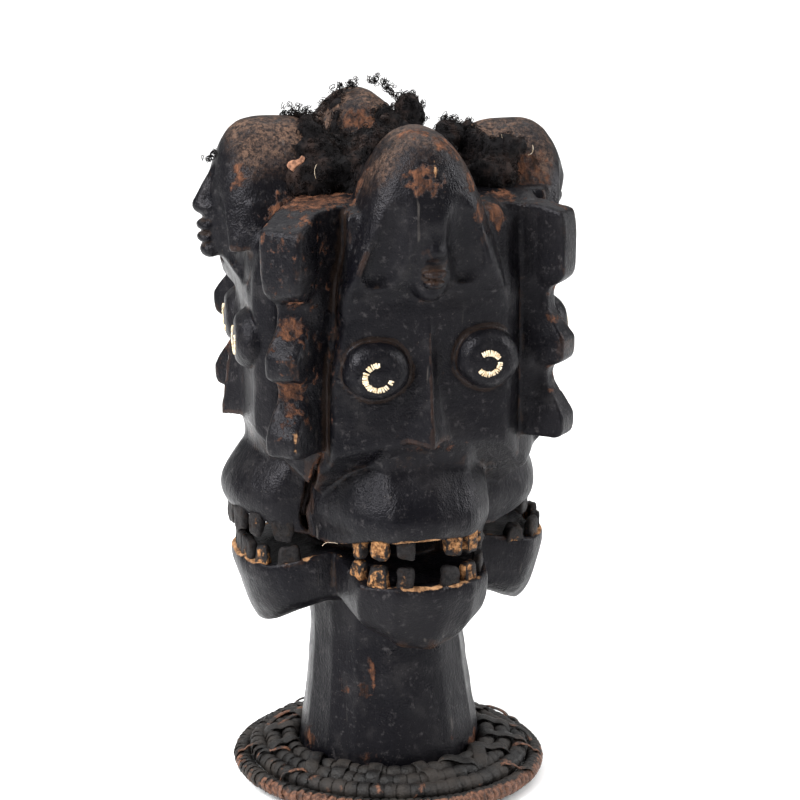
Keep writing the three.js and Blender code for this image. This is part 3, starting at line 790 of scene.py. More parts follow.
def wear_masks(points, normals):
    """Masks for bare wood, ochre ground showing through, rubbed edges, settled dirt and scalp."""
    x, y, z = points.T
    broad = lattice_noise(points, 16, 5)
    fine = lattice_noise(points, 5, 6)
    edge = (carving_field(points - normals * 3.5) + 3.5) / 2.2
    hollow = (4 - carving_field(points + normals * 4)) / 3.5
    wood = np.zeros(len(points))
    ochre = np.zeros(len(points))
    scalp = np.zeros(len(points))
    downward = -normals[:, 2]
    level_top = step(normals[:, 2], 0.35, 0.8) * step(z, 388, 396)
    for quarters, face in enumerate(FACES):
        u, v = turned(x, y, quarters)
        mine = (v > np.abs(u) * 0.9) & (v > 20)
        dome = dome_field(u, v, z, face)
        level_top = level_top * np.where((z > 415) & (dome < 4), 0, 1)
        scalp = np.maximum(scalp, np.where(mine, fuzzy_scalp(v, z, face, dome, broad, fine), 0))
        ochre = np.maximum(ochre, np.where(mine, mouth_ochre(u, v, z, face, downward, broad, fine), 0))
        slot = bump(z, 250, 5) * bump(u, 2, 20) * step(v, 70, 84) * step(downward, -0.9, 0.1)
        wood = np.maximum(wood, np.where(mine, 0.5 * slot, 0))
    wood = np.maximum(wood, level_top * (0.4 + 0.5 * broad + 0.2 * fine))
    for quarters, shape in enumerate(FLANGES):
        t, r = turned(x, y, quarters + 0.5)
        near = (r > 80) & (np.abs(t) < 26) & (z > 240)
        worn, rim = flange_wear(r, z, shape, broad, fine)
        if quarters == NEAR_FLANGE:
            score = lattice_noise(points * [1, 1, 0.1], 1.7, 8)
            side = step(z, 250, 270) * step(r, 90, 100) * step(t, -6, 4)
            worn = np.maximum(worn, (0.26 + 0.42 * score) * side)
            worn = np.maximum(worn, (0.2 + 0.42 * score) * step(z, 300, 325) * step(r, 104, 112))
            stripe = 0.58 * bump(t, 12.5, 2.4) * bump(z, 264, 11) * rim
            ochre = np.maximum(ochre, np.where(near, stripe, 0))
        wood = np.maximum(wood, np.where(near, worn, 0))
    foot = step(31 + 2.5 * fine - z, 0, 2) * step(z, 22, 25)
    wood = np.maximum(wood, 0.8 * foot * step(broad, 0.0, 0.5))
    for place, size in NECK_SPOTS:
        wood = np.maximum(wood, near_spot(points, place, size) * (1.0 + 0.7 * fine))
    ochre = np.maximum(ochre, 1.1 * near_spot(points, *BROW_SCRATCH))
    tear = (1 - step(crack_reach(points), 0.8, 3.4)) * step(z, 216, 232)
    wood = np.maximum(wood, tear * (0.6 + 0.6 * fine))
    for place, size, strength in TAN_SPOTS:
        wood = np.maximum(wood, near_spot(points, place, size) * (strength + 0.6 * fine))
    return dict(wood=wood, ochre=ochre, edge=edge * (0.7 + 0.5 * broad), dirt=hollow, scalp=scalp)


# Materials

class Finish:
    """A material with one Principled shader and short ways to add nodes to it."""

    def __init__(self, name, roughness, specular=0.5):
        self.material = bpy.data.materials.new(name)
        self.material.use_nodes = True
        self.tree = self.material.node_tree
        self.shader = self.tree.nodes["Principled BSDF"]
        self.shader.inputs["Roughness"].default_value = roughness
        self.shader.inputs["Specular IOR Level"].default_value = specular
        self.place = self.tree.nodes.new("ShaderNodeTexCoord").outputs["Object"]

    def link(self, source, target):
        self.tree.links.new(source, target)

    def stretch(self, scale, turn=(0, 0, 0)):
        node = self.tree.nodes.new("ShaderNodeMapping")
        node.inputs["Scale"].default_value = scale
        node.inputs["Rotation"].default_value = turn
        self.link(self.place, node.inputs["Vector"])
        return node.outputs["Vector"]

    def noise(self, scale, detail=4, rough=0.55, vector=None, distortion=0):
        node = self.tree.nodes.new("ShaderNodeTexNoise")
        node.inputs["Scale"].default_value = scale
        node.inputs["Detail"].default_value = detail
        node.inputs["Roughness"].default_value = rough
        node.inputs["Distortion"].default_value = distortion
        self.link(vector or self.place, node.inputs["Vector"])
        return node.outputs["Fac"]

    def cells(self, scale):
        node = self.tree.nodes.new("ShaderNodeTexVoronoi")
        node.inputs["Scale"].default_value = scale
        self.link(self.place, node.inputs["Vector"])
        return node.outputs["Distance"]

    def mask(self, name):
        node = self.tree.nodes.new("ShaderNodeAttribute")
        node.attribute_name = name
        return node.outputs["Fac"]

    def ramp(self, value, low, high, start=0.0, end=1.0):
        node = self.tree.nodes.new("ShaderNodeMapRange")
        node.interpolation_type = "SMOOTHSTEP"
        node.inputs["From Min"].default_value = low
        node.inputs["From Max"].default_value = high
        node.inputs["To Min"].default_value = start
        node.inputs["To Max"].default_value = end
        self.link(value, node.inputs["Value"])
        return node.outputs["Result"]

    def math(self, operation, first, second):
        node = self.tree.nodes.new("ShaderNodeMath")
        node.operation = operation
        for socket, value in zip(node.inputs, (first, second)):
            if isinstance(value, (int, float)):
                socket.default_value = value
            else:
                self.link(value, socket)
        return node.outputs["Value"]

    def mix(self, share, first, second):
        node = self.tree.nodes.new("ShaderNodeMix")
        node.data_type = "RGBA"
        colours = [s for s in node.inputs if s.type == "RGBA"]
        self.link(share, node.inputs["Factor"])
        for socket, colour in zip(colours, (first, second)):
            if isinstance(colour, tuple):
                socket.default_value = colour + (1,)
            else:
                self.link(colour, socket)
        return [s for s in node.outputs if s.type == "RGBA"][0]

    def group(self, tree, **inputs):
        """A shared node group, given its inputs by name, and the mask that it gives."""
        node = self.tree.nodes.new("ShaderNodeGroup")
        node.node_tree = tree
        for key, value in inputs.items():
            socket = node.inputs[key.replace("_", " ").capitalize()]
            if isinstance(value, (int, float)):
                socket.default_value = value
            else:
                self.link(value, socket)
        return node.outputs["Mask"]

    def bump(self, height, strength, distance):
        node = self.tree.nodes.new("ShaderNodeBump")
        node.inputs["Strength"].default_value = strength
        node.inputs["Distance"].default_value = distance
        self.link(height, node.inputs["Height"])
        self.link(node.outputs["Normal"], self.shader.inputs["Normal"])


MASK_EDGE = 0.42


def ragged_mask_group():
    """Breaks a soft mask into ragged patches: the edge follows noise of the given scale."""
    tree = bpy.data.node_groups.new("ragged mask", "ShaderNodeTree")
    for name, usual in (("Mask", 0), ("Scale", 200), ("Spread", 0.8), ("Soft", 0.2)):
        socket = tree.interface.new_socket(name, in_out="INPUT", socket_type="NodeSocketFloat")
        socket.default_value = usual
    tree.interface.new_socket("Mask", in_out="OUTPUT", socket_type="NodeSocketFloat")
    start = tree.nodes.new("NodeGroupInput")
    end = tree.nodes.new("NodeGroupOutput")
    place = tree.nodes.new("ShaderNodeTexCoord")
    noise_node = tree.nodes.new("ShaderNodeTexNoise")
    noise_node.inputs["Detail"].default_value = 6
    noise_node.inputs["Roughness"].default_value = 0.65
    tree.links.new(place.outputs["Object"], noise_node.inputs["Vector"])
    tree.links.new(start.outputs["Scale"], noise_node.inputs["Scale"])
    centred = tree.nodes.new("ShaderNodeMath")
    centred.operation = "SUBTRACT"
    centred.inputs[1].default_value = 0.5
    tree.links.new(noise_node.outputs["Fac"], centred.inputs[0])
    spread_out = tree.nodes.new("ShaderNodeMath")
    spread_out.operation = "MULTIPLY_ADD"
    tree.links.new(centred.outputs["Value"], spread_out.inputs[0])
    tree.links.new(start.outputs["Spread"], spread_out.inputs[1])
    tree.links.new(start.outputs["Mask"], spread_out.inputs[2])
    upper = tree.nodes.new("ShaderNodeMath")
    upper.inputs[1].default_value = MASK_EDGE
    tree.links.new(start.outputs["Soft"], upper.inputs[0])
    sharp = tree.nodes.new("ShaderNodeMapRange")
    sharp.interpolation_type = "SMOOTHSTEP"
    sharp.inputs["From Min"].default_value = MASK_EDGE
    tree.links.new(upper.outputs["Value"], sharp.inputs["From Max"])
    tree.links.new(spread_out.outputs["Value"], sharp.inputs["Value"])
    tree.links.new(sharp.outputs["Result"], end.inputs["Mask"])
    return tree


RAGGED = ragged_mask_group()


def skin_masks(f, fine):
    """Where the skin is rubbed, gone, dirty or fuzzy, each with a ragged edge."""
    patchy = f.ramp(f.noise(34, 8, 0.78), 0.4, 0.62, 0.05, 0.85)
    bare = f.group(RAGGED, mask=f.mask("wood"), scale=165.0, spread=2.1, soft=0.3)
    return dict(
        scalp=f.math("MULTIPLY", f.mask("scalp"), patchy),
        edge=f.group(RAGGED, mask=f.mask("edge"), scale=90.0, spread=1.9),
        wood=f.math("MULTIPLY", bare, f.ramp(fine, 0.38, 0.56, 0.35, 1)),
        ochre=f.group(RAGGED, mask=f.mask("ochre"), scale=190.0, spread=1.6),
        dirt=f.group(RAGGED, mask=f.mask("dirt"), scale=140.0, spread=1.5),
    )


def skin_colour(f, masks, fine, fuzz):
    """Black-brown skin, then what shows through or lies on it, from the dirt to the dust."""
    grain = f.noise(60, 5, 0.65, f.stretch((3.2, 3.2, 0.22)), 0.3)
    dark = f.mix(f.ramp(f.noise(14, 5, 0.6), 0.35, 0.68), (0.0018, 0.0018, 0.0028), (0.0046, 0.0043, 0.0053))
    dark = f.mix(f.ramp(f.noise(48, 6, 0.68), 0.5, 0.7, 0, 0.75), dark, (0.0145, 0.0135, 0.0142))
    dark = f.mix(f.ramp(fine, 0.55, 0.72, 0, 0.75), dark, (0.04, 0.037, 0.038))
    rust = f.mix(f.ramp(grain, 0.3, 0.7), (0.018, 0.011, 0.008), (0.07, 0.036, 0.022))
    wood = f.mix(f.ramp(grain, 0.34, 0.66), (0.015, 0.0082, 0.006), (0.165, 0.07, 0.037))
    ochre = f.mix(f.ramp(fine, 0.35, 0.65), (0.085, 0.04, 0.018), (0.36, 0.2, 0.1))
    scalp = f.mix(f.ramp(fuzz, 0.4, 0.6), (0.01, 0.007, 0.006), (0.175, 0.103, 0.069))
    colour = f.mix(f.math("MULTIPLY", masks["dirt"], 0.5), dark, (0.026, 0.016, 0.011))
    colour = f.mix(f.math("MULTIPLY", masks["edge"], 0.28), colour, rust)
    colour = f.mix(masks["scalp"], colour, scalp)
    colour = f.mix(f.math("MULTIPLY", masks["wood"], 0.85), colour, wood)
    colour = f.mix(masks["ochre"], colour, ochre)
    scratch = f.noise(420, 2, 0.5, f.stretch((0.35, 0.35, 0.02), (0.5, 0.3, 0.2)))
    colour = f.mix(f.ramp(scratch, 0.71, 0.79, 0, 0.5), colour, (0.085, 0.077, 0.07))
    dust = f.ramp(f.noise(900, 3, 0.6), 0.67, 0.77, 0, 0.7)
    return f.mix(dust, colour, (0.13, 0.115, 0.1))


def skin_relief(f, masks, worn, fuzz):
    """Creases, dents and pores of the skin, and the grain where it is gone."""
    crease = f.noise(125, 7, 0.68, f.stretch((1, 1, 0.55)), 0.6)
    dents = f.noise(45, 3, 0.5)
    hatch = f.noise(330, 3, 0.6, f.stretch((1, 1, 0.16), (0.25, 0.2, 0)), 0.4)
    pores = f.cells(800)
    streak = f.noise(95, 4, 0.6, f.stretch((4, 4, 0.3)))
    relief = f.math("ADD", f.math("MULTIPLY", crease, 0.8), f.math("MULTIPLY", pores, 0.2))
    relief = f.math("ADD", relief, f.math("MULTIPLY", dents, 0.9))
    relief = f.math("ADD", relief, f.math("MULTIPLY", hatch, 0.35))
    relief = f.math("ADD", relief, f.math("MULTIPLY", f.math("MULTIPLY", worn, streak), 1.2))
    relief = f.math("ADD", relief, f.math("MULTIPLY", f.math("MULTIPLY", masks["scalp"], fuzz), 1.4))
    return f.math("SUBTRACT", relief, f.math("MULTIPLY", masks["ochre"], 0.4))


def skin_finish():
    """Satin skin over wood, creased, and rubbed through to rust, ochre and bare wood."""
    f = Finish("dark skin", 0.4, 0.105)
    f.shader.inputs["Specular Tint"].default_value = (0.95, 0.93, 1, 1)
    fine = f.noise(210, 6, 0.7)
    fuzz = f.noise(360, 6, 0.8)
    masks = skin_masks(f, fine)
    f.link(skin_colour(f, masks, fine, fuzz), f.shader.inputs["Base Color"])
    worn = f.math("MAXIMUM", f.math("MAXIMUM", masks["wood"], masks["ochre"]), masks["scalp"])
    rough = f.ramp(f.noise(38, 6, 0.7), 0.3, 0.7, 0.25, 0.43)
    rough = f.math("MAXIMUM", rough, f.math("MULTIPLY", worn, 0.85))
    f.link(rough, f.shader.inputs["Roughness"])
    f.bump(skin_relief(f, masks, worn, fuzz), 0.62, 0.0015)
    return f.material


def tooth_finish():
    """Worn pegs: dark where handled and darker still on the left face with painted shade, ochre wood where
    the dark has gone.
    """
    f = Finish("worn tooth", 0.7, 0.12)
    patch = f.noise(190, 6, 0.7)
    fine = f.noise(420, 6, 0.7)
    tan = f.mix(f.ramp(fine, 0.3, 0.7), (0.065, 0.024, 0.009), (0.42, 0.215, 0.092))
    grey = f.mix(f.ramp(fine, 0.35, 0.7), (0.0028, 0.0026, 0.0032), (0.019, 0.0165, 0.0165))
    # The left face's teeth come with a lower bare mask, which is painted shade that keeps them darker.
    bare = f.group(RAGGED, mask=f.mask("bare"), scale=150.0, spread=1.9)
    colour = f.mix(bare, grey, tan)
    colour = f.mix(f.ramp(patch, 0.52, 0.6, 0, 0.92), colour, (0.01, 0.006, 0.0045))
    f.link(colour, f.shader.inputs["Base Color"])
    f.link(f.ramp(bare, 0, 1, 0.5, 0.85), f.shader.inputs["Roughness"])
    f.bump(f.math("ADD", patch, fine), 0.9, 0.0012)
    return f.material


def inlay_finish():
    """Pale splints, yellowed and dirty between."""
    f = Finish("pale splint", 0.6)
    tone = f.ramp(f.noise(420, 4, 0.6), 0.35, 0.7)
    colour = f.mix(tone, (0.5, 0.36, 0.2), (0.86, 0.76, 0.58))
    grime = f.ramp(f.noise(900, 3, 0.6), 0.62, 0.75, 0, 0.8)
    f.link(f.mix(grime, colour, (0.09, 0.05, 0.025)), f.shader.inputs["Base Color"])
    f.bump(f.noise(1500, 3), 0.4, 0.0003)
    return f.material


def hair_finish():
    """Black frizz, browner where it is thin."""
    f = Finish("frizzy hair", 0.75, 0.12)
    tone = f.ramp(f.noise(60, 5, 0.7), 0.46, 0.7)
    f.link(f.mix(tone, (0.0032, 0.0025, 0.003), (0.023, 0.0135, 0.0108)), f.shader.inputs["Base Color"])
    f.bump(f.noise(700, 5, 0.7), 0.8, 0.0012)
    return f.material


def cane_finish():
    """Dark wrapped cane, copper-brown where floor wear has rubbed it."""
    f = Finish("dark cane", 0.5, 0.22)
    fine = f.noise(300, 5, 0.65)
    broad = f.noise(45, 4, 0.6)
    dark = f.mix(f.ramp(broad, 0.35, 0.7), (0.0065, 0.006, 0.006), (0.026, 0.0215, 0.0185))
    copper = f.mix(f.ramp(fine, 0.35, 0.65), (0.028, 0.0135, 0.009), (0.15, 0.068, 0.04))
    rubbed = f.group(RAGGED, mask=f.mask("rubbed"), scale=75.0, spread=2.2)
    colour = f.mix(rubbed, dark, copper)
    f.link(f.mix(f.ramp(fine, 0.62, 0.8, 0, 0.5), colour, (0.09, 0.07, 0.055)), f.shader.inputs["Base Color"])
    f.link(f.ramp(broad, 0.3, 0.7, 0.38, 0.66), f.shader.inputs["Roughness"])
    f.bump(f.math("ADD", fine, f.noise(700, 4, 0.6)), 0.8, 0.0008)
    return f.material


def fibre_finish():
    """Pale dry plant fibre."""
    f = Finish("pale fibre", 0.6)
    tone = f.ramp(f.noise(300), 0.4, 0.6)
    f.link(f.mix(tone, (0.3, 0.22, 0.14), (0.62, 0.52, 0.4)), f.shader.inputs["Base Color"])
    return f.material


def chip_finish():
    """Bare tan wood."""
    f = Finish("tan chip", 0.8)
    tone = f.ramp(f.noise(500, 4, 0.6), 0.35, 0.65)
    f.link(f.mix(tone, (0.09, 0.035, 0.017), (0.31, 0.145, 0.08)), f.shader.inputs["Base Color"])
    return f.material


# Teeth

def rounded_block(divisions, power):
    """Points of a cube from -1 to 1 with eased edges, and its quads."""
    shape = bmesh.new()
    bmesh.ops.create_cube(shape, size=2)
    bmesh.ops.subdivide_edges(shape, edges=shape.edges[:], cuts=divisions, use_grid_fill=True)
    points = np.array([v.co[:] for v in shape.verts])
    faces = [[v.index for v in f.verts] for f in shape.faces]
    shape.free()
    norm = (np.abs(points) ** power).sum(1) ** (1 / power)
    return points / norm[:, None] * np.abs(points).max(1)[:, None], faces


def peg_axes(node):
    """A peg's middle, its long unit directions across and out, and its half sizes, in millimetres."""
    corners = np.unique(np.round(read_points(node.data), 2), axis=0)
    middle = corners.mean(0)
    flat = corners[:, :2] - middle[:2]
    _, _, directions = np.linalg.svd(flat, full_matrices=False)
    across, out = directions
    outward = middle[:2] / np.linalg.norm(middle[:2])
    if abs(across @ outward) > abs(out @ outward):
        across, out = out, across
    if out @ outward < 0:
        out = -out
    halves = [np.abs(flat @ across).max(), np.abs(flat @ out).max(), np.ptp(corners[:, 2]) / 2]
    return middle, np.append(across, 0), np.append(out, 0), halves


# How bare the teeth nearest the camera are rubbed. The others are dark, half bare or mostly bare by chance,
# and on the left face darker still with painted shade, as the left window light falls on them.
WORN_TEETH = {
    "tooth_front_upper_1": 0.62, "tooth_front_upper_2": 0.66, "tooth_front_upper_3": 0.05,
    "tooth_front_upper_5": 0.62, "tooth_front_upper_6": 0.72, "tooth_front_upper_7": 0.3,
    "tooth_front_lower_1": 0.7, "tooth_front_lower_2": 0.58, "tooth_front_lower_3": 0.34,
    "tooth_front_lower_5": 0.22, "tooth_front_lower_6": 0.62, "tooth_front_lower_7": 0.2,
    "tooth_left_lower_5": 0.35, "tooth_left_lower_6": 0.5,
}


TOOTH_SHADES = [0.02, 0.3, 0.55]
# Painted shade: how much less bare, and so darker, the left face's teeth are made, as the left window light
# falls on them.
LEFT_TEETH_PAINTED_SHADE = 0.35


def make_tooth(node, finish, seed):
    """One worn, uneven peg in the place of its CAD solid."""
    rng = np.random.default_rng(seed)
    middle, across, out, (width, depth, tall) = peg_axes(node)
    tip = -1 if "_upper_" in node.name else 1
    points, faces = rounded_block(5, rng.uniform(4, 7.5))
    a, b, c = points.T
    toward_tip = (c * tip + 1) / 2
    a = a * (1.14 - rng.uniform(0.04, 0.22) * toward_tip) + rng.uniform(-0.12, 0.12) * toward_tip
    b = b * (1.0 - 0.2 * toward_tip) + 0.05 * toward_tip
    c = c + rng.uniform(-0.2, 0.2) * a * toward_tip - tip * rng.uniform(0, 0.24) * toward_tip
    place = middle + np.outer(a * width, across) + np.outer(b * depth, out) + np.outer(c * tall, [0, 0, 1])
    push = lattice_noise(place, 4.5, seed) * 1.3 + lattice_noise(place, 2, seed + 1) * 0.5
    away = place - middle
    place = place + away / np.linalg.norm(away, axis=1)[:, None] * push[:, None]
    tooth = mesh_object("worn_" + node.name, place * MM, faces)
    # The left face's teeth are made darker here with painted shade.
    shade = rng.choice(TOOTH_SHADES) - (LEFT_TEETH_PAINTED_SHADE if "_left_" in node.name else 0)
    bareness_with_painted_shade = WORN_TEETH.get(node.name, shade)
    rim = np.sort(np.abs(points), axis=1)[:, 1]
    bare = bareness_with_painted_shade + 0.4 * (0.5 - toward_tip) - 0.35 * step(rim, 0.6, 1.0)
    add_mask(tooth.data, "bare", bare)
    tooth.data.materials.append(finish)
    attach(tooth, "root")
    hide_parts(node.name)


# Eye inlays

# What is left of each eye's ring, as runs of degrees with its outer radius.
RINGS = {
    "front": (([(88, 147), (158, 318), (332, 346)], 10.6), ([(-140, 8), (30, 128)], 9.2)),
    "right": (([(20, 170), (185, 300)], 10), ([(-60, 60), (75, 190)], 10)),
    "back": (([(-10, 120), (135, 260)], 10), ([(60, 200), (215, 350)], 10)),
    "left": (([(100, 230), (240, 330)], 10), ([(120, 260), (270, 395)], 10.4)),
}


RING_FLATNESS = 0.94
# How far the splints' middles are inside the ring's outer radius, and how much of it each takes up.
RING_INSET = 2.1
SPLINT_DEGREES = 10


def on_carving(points):
    """Points moved onto the carving's surface, with the outward direction there."""
    points = settle(carving_field, points, 4)
    _, slope = field_slope(carving_field, points)
    return points, slope / np.linalg.norm(slope, axis=1)[:, None]


def face_points(u, v, z, quarters):
    """Points given in a face's frame, in the crest's own."""
    angle = quarters * math.pi / 2
    x = u * math.cos(angle) + v * math.sin(angle)
    y = u * math.sin(angle) - v * math.cos(angle)
    return np.stack([x, y, z], 1)


def make_inlay(node, finish, seed):
    """A broken ring of short splints pressed into an eye."""
    rng = np.random.default_rng(seed)
    _, _, name, which = node.name.split("_")
    quarters = [f["name"] for f in FACES].index(name)
    face = FACES[quarters]
    side = -1 if which == "1" else 1
    runs, outer = RINGS[name][int(which) - 1]
    ring_u, ring_z = ring_place(face, side)
    angles = np.concatenate([np.arange(low, high, 1.05 * rng.uniform(9, 10)) for low, high in runs])
    angles = np.radians(angles + rng.uniform(-1.5, 1.5, len(angles)))
    middle = outer - RING_INSET
    u = ring_u + middle * np.cos(angles)
    z = ring_z + middle * np.sin(angles) * RING_FLATNESS
    v = np.full(len(u), FACE_OUT + EYE_RISE + face["eye_out"] - 1.5)
    v = v + u * math.tan(math.radians(face["slant"]))
    places, normals = on_carving(face_points(u, v, z, quarters))
    radial = face_points(np.cos(angles), np.zeros(len(u)), np.sin(angles), quarters)
    block, quads = rounded_block(1, 7)
    points, faces = [], []
    for place, normal, spoke in zip(places, normals, radial):
        spoke = spoke - normal * (spoke @ normal)
        spoke /= np.linalg.norm(spoke)
        across = np.cross(normal, spoke)
        wide = middle * math.radians(SPLINT_DEGREES) * rng.uniform(0.36, 0.46)
        size = [wide, rng.uniform(1.45, 2.0), 0.85]
        lean = rng.uniform(-0.12, 0.12)
        shape = block * size
        turned_block = np.outer(shape[:, 0] + lean * shape[:, 1], across)
        turned_block = turned_block + np.outer(shape[:, 1], spoke) + np.outer(shape[:, 2], normal)
        faces += [[i + len(points) * len(block) for i in q] for q in quads]
        points.append(place + turned_block + normal * rng.uniform(0.05, 0.35))
    inlay = mesh_object("splints_" + name + "_" + which, np.concatenate(points) * MM, faces)
    inlay.data.materials.append(finish)
    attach(inlay, "root")
    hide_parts(node.name)


# Shapes that repeat or follow a path

class Weave:
    """A Geometry Nodes tree with named inputs and short ways to add nodes to it."""

    def __init__(self, name, **inputs):
        self.tree = bpy.data.node_groups.new(name, "GeometryNodeTree")
        face = self.tree.interface
        face.new_socket("Geometry", in_out="INPUT", socket_type="NodeSocketGeometry")
        self.keys = {}
        for key, kind in inputs.items():
            socket = face.new_socket(key, in_out="INPUT", socket_type="NodeSocket" + kind)
            self.keys[key] = socket.identifier
        face.new_socket("Geometry", in_out="OUTPUT", socket_type="NodeSocketGeometry")
        self.start = self.tree.nodes.new("NodeGroupInput")
        self.end = self.tree.nodes.new("NodeGroupOutput")

    def given(self, key):
        return self.start.outputs[key]

    def add(self, kind, *values, output=0, **settings):
        """A node whose sockets in use take the values in order, as links or plain values."""
        node = self.tree.nodes.new(kind)
        for key, value in settings.items():
            setattr(node, key, value)
        sockets = [socket for socket in node.inputs if socket.enabled]
        for socket, value in zip(sockets, values):
            if value is None:
                continue
            if isinstance(value, bpy.types.NodeSocket):
                self.tree.links.new(value, socket)
            else:
                socket.default_value = value
        shown = [socket for socket in node.outputs if socket.enabled]
        return shown[output]

    def math(self, operation, *values):
        return self.add("ShaderNodeMath", *values, operation=operation)

    def spin(self, rotation, amount, seed):
        """The rotation with a random turn about each of its own axes, up to amount."""
        low, high = (-amount,) * 3, (amount,) * 3
        angles = self.add("FunctionNodeRandomValue", low, high, None, seed, data_type="FLOAT_VECTOR")
        turn = self.add("FunctionNodeEulerToRotation", angles)
        return self.add("FunctionNodeRotateRotation", rotation, turn, rotation_space="LOCAL")

    def finish(self, geometry):
        """Ends the tree: real geometry, smooth, with the given material."""
        real = self.add("GeometryNodeRealizeInstances", geometry)
        smooth = self.add("GeometryNodeSetShadeSmooth", real)
        dressed = self.add("GeometryNodeSetMaterial", smooth, None, self.given("Material"))
        self.tree.links.new(dressed, self.end.inputs[0])

    def grow(self, thing, **values):
        """Runs the tree on an object and leaves the result as its plain mesh."""
        modifier = thing.modifiers.new(self.tree.name, "NODES")
        modifier.node_group = self.tree
        for key, value in values.items():
            modifier[self.keys[key]] = value
        graph = bpy.context.evaluated_depsgraph_get()
        mesh = bpy.data.meshes.new_from_object(thing.evaluated_get(graph))
        grown = bpy.data.objects.new(thing.name, mesh)
        bpy.context.scene.collection.objects.link(grown)
        name = thing.name
        bpy.data.objects.remove(thing)
        grown.name = name
        mesh.name = name
        if not mesh.materials:
            mesh.materials.append(values["Material"])
        return grown


def path_object(name, paths):
    """A curve object with one plain spline for each list of points in millimetres."""
    data = bpy.data.curves.new(name, "CURVE")
    data.dimensions = "3D"
    for path in paths:
        spline = data.splines.new("POLY")
        spline.points.add(len(path) - 1)
        for point, place in zip(spline.points, path):
            point.co = (*[c * MM for c in place], 1)
    thing = bpy.data.objects.new(name, data)
    bpy.context.scene.collection.objects.link(thing)
    return thing


# The basketry foot

# The wrapped coils from the outermost inwards: radius of the ring, of the coil, its lowest height and
# how much higher it is at the front left, how many wraps go round it and their slant, and how rubbed
# it is on its outer side and all over.
COILS = [
    dict(ring=97.8, coil=5.5, low=6.2, rise=5.4, wraps=112, slant=0.16, side_wear=1, wear=0),
    dict(ring=87.2, coil=5.8, low=12.4, rise=5.0, wraps=66, slant=0.14, side_wear=0, wear=0.25),
    dict(ring=76.6, coil=5.6, low=16.8, rise=2.6, wraps=58, slant=0.12, side_wear=0, wear=0),
    dict(ring=66.2, coil=5.6, low=19.8, rise=0.8, wraps=46, slant=0.1, side_wear=0, wear=0),
]
HIGH_SIDE = math.radians(-134)
WRAP_BULGE = 0.9


def coil_height(coil, angle):
    """The height of a coil's middle at one place round the ring."""
    return coil["low"] + coil["rise"] * (0.5 + 0.5 * math.cos(angle - HIGH_SIDE))


def coil_weave():
    """A ring of cane: a core with short bulging wraps set side by side round it."""
    w = Weave("wrapped coil", Ring="Float", Coil="Float", Low="Float", Rise="Float", Wraps="Int",
              Slant="Float", Seed="Int", Material="Material")
    ring = w.add("GeometryNodeCurvePrimitiveCircle", 160, w.given("Ring"))
    place = w.add("GeometryNodeInputPosition")
    split = w.add("ShaderNodeSeparateXYZ", place)
    along_x, along_y = split, split.node.outputs["Y"]
    angle = w.math("SUBTRACT", w.math("ARCTAN2", along_y, along_x), HIGH_SIDE)
    share = w.math("MULTIPLY_ADD", w.math("COSINE", angle), 0.5, 0.5)
    height = w.math("MULTIPLY_ADD", share, w.given("Rise"), w.given("Low"))
    uneven = w.math("SUBTRACT", w.add("ShaderNodeTexNoise", place, 28.0), 0.5)
    wobble = w.math("MULTIPLY", uneven, 2.2 * MM)
    offset = w.add("ShaderNodeCombineXYZ", wobble, wobble, height)
    ring = w.add("GeometryNodeSetPosition", ring, None, None, offset)
    section = w.add("GeometryNodeCurvePrimitiveCircle", 8, w.math("MULTIPLY", w.given("Coil"), 0.88))
    core = w.add("GeometryNodeCurveToMesh", ring, section)
    points = w.add("GeometryNodeCurveToPoints", ring, w.given("Wraps"), mode="COUNT")
    rotation = points.node.outputs["Rotation"]
    pitch = w.math("DIVIDE", w.math("MULTIPLY", w.given("Ring"), 2 * math.pi), w.given("Wraps"))
    wrap = w.add("GeometryNodeMeshCylinder", 12, 5, w.given("Coil"), w.math("MULTIPLY", pitch, 1.02),
                 fill_type="NONE")
    spot = w.add("GeometryNodeInputPosition")
    deep = w.add("ShaderNodeSeparateXYZ", spot, output=2)
    share = w.math("DIVIDE", deep, pitch)
    swell = w.math("MULTIPLY_ADD", w.math("POWER", w.math("ABSOLUTE", share), 3.0), -1.3, 1.05)
    swelled = w.add("ShaderNodeCombineXYZ", swell, swell, 1.0)
    bulging = w.add("ShaderNodeVectorMath", spot, swelled, operation="MULTIPLY")
    wrap = w.add("GeometryNodeSetPosition", wrap, None, bulging)
    tilt = w.add("ShaderNodeCombineXYZ", w.given("Slant"), w.given("Slant"), 0.0)
    rotation = w.add("FunctionNodeRotateRotation", rotation, w.add("FunctionNodeEulerToRotation", tilt),
                     rotation_space="LOCAL")
    rotation = w.spin(rotation, 0.09, w.given("Seed"))
    scale = w.add("FunctionNodeRandomValue", (0.95, 0.95, 0.92), (1.06, 1.06, 1.16), None, w.given("Seed"),
                  data_type="FLOAT_VECTOR")
    wraps = w.add("GeometryNodeInstanceOnPoints", points, None, wrap, None, None, rotation, scale)
    both = w.add("GeometryNodeJoinGeometry")
    w.tree.links.new(wraps, both.node.inputs[0])
    w.tree.links.new(core, both.node.inputs[0])
    w.finish(both)
    return w


def strap_weave():
    """A flat strip of cane along each path, with rounded edges."""
    w = Weave("flat strap", Width="Float", Thick="Float", Material="Material")
    paths = w.add("GeometryNodeResampleCurve", w.given("Geometry"), None, 16)
    upright = w.add("GeometryNodeSetCurveNormal", paths, mode="Z_UP")
    section = w.add("GeometryNodeCurvePrimitiveCircle", 10, 0.5)
    size = w.add("ShaderNodeCombineXYZ", w.given("Width"), w.given("Thick"), 1.0)
    section = w.add("GeometryNodeTransform", section, None, None, size)
    w.finish(w.add("GeometryNodeCurveToMesh", upright, section, None, True))
    return w


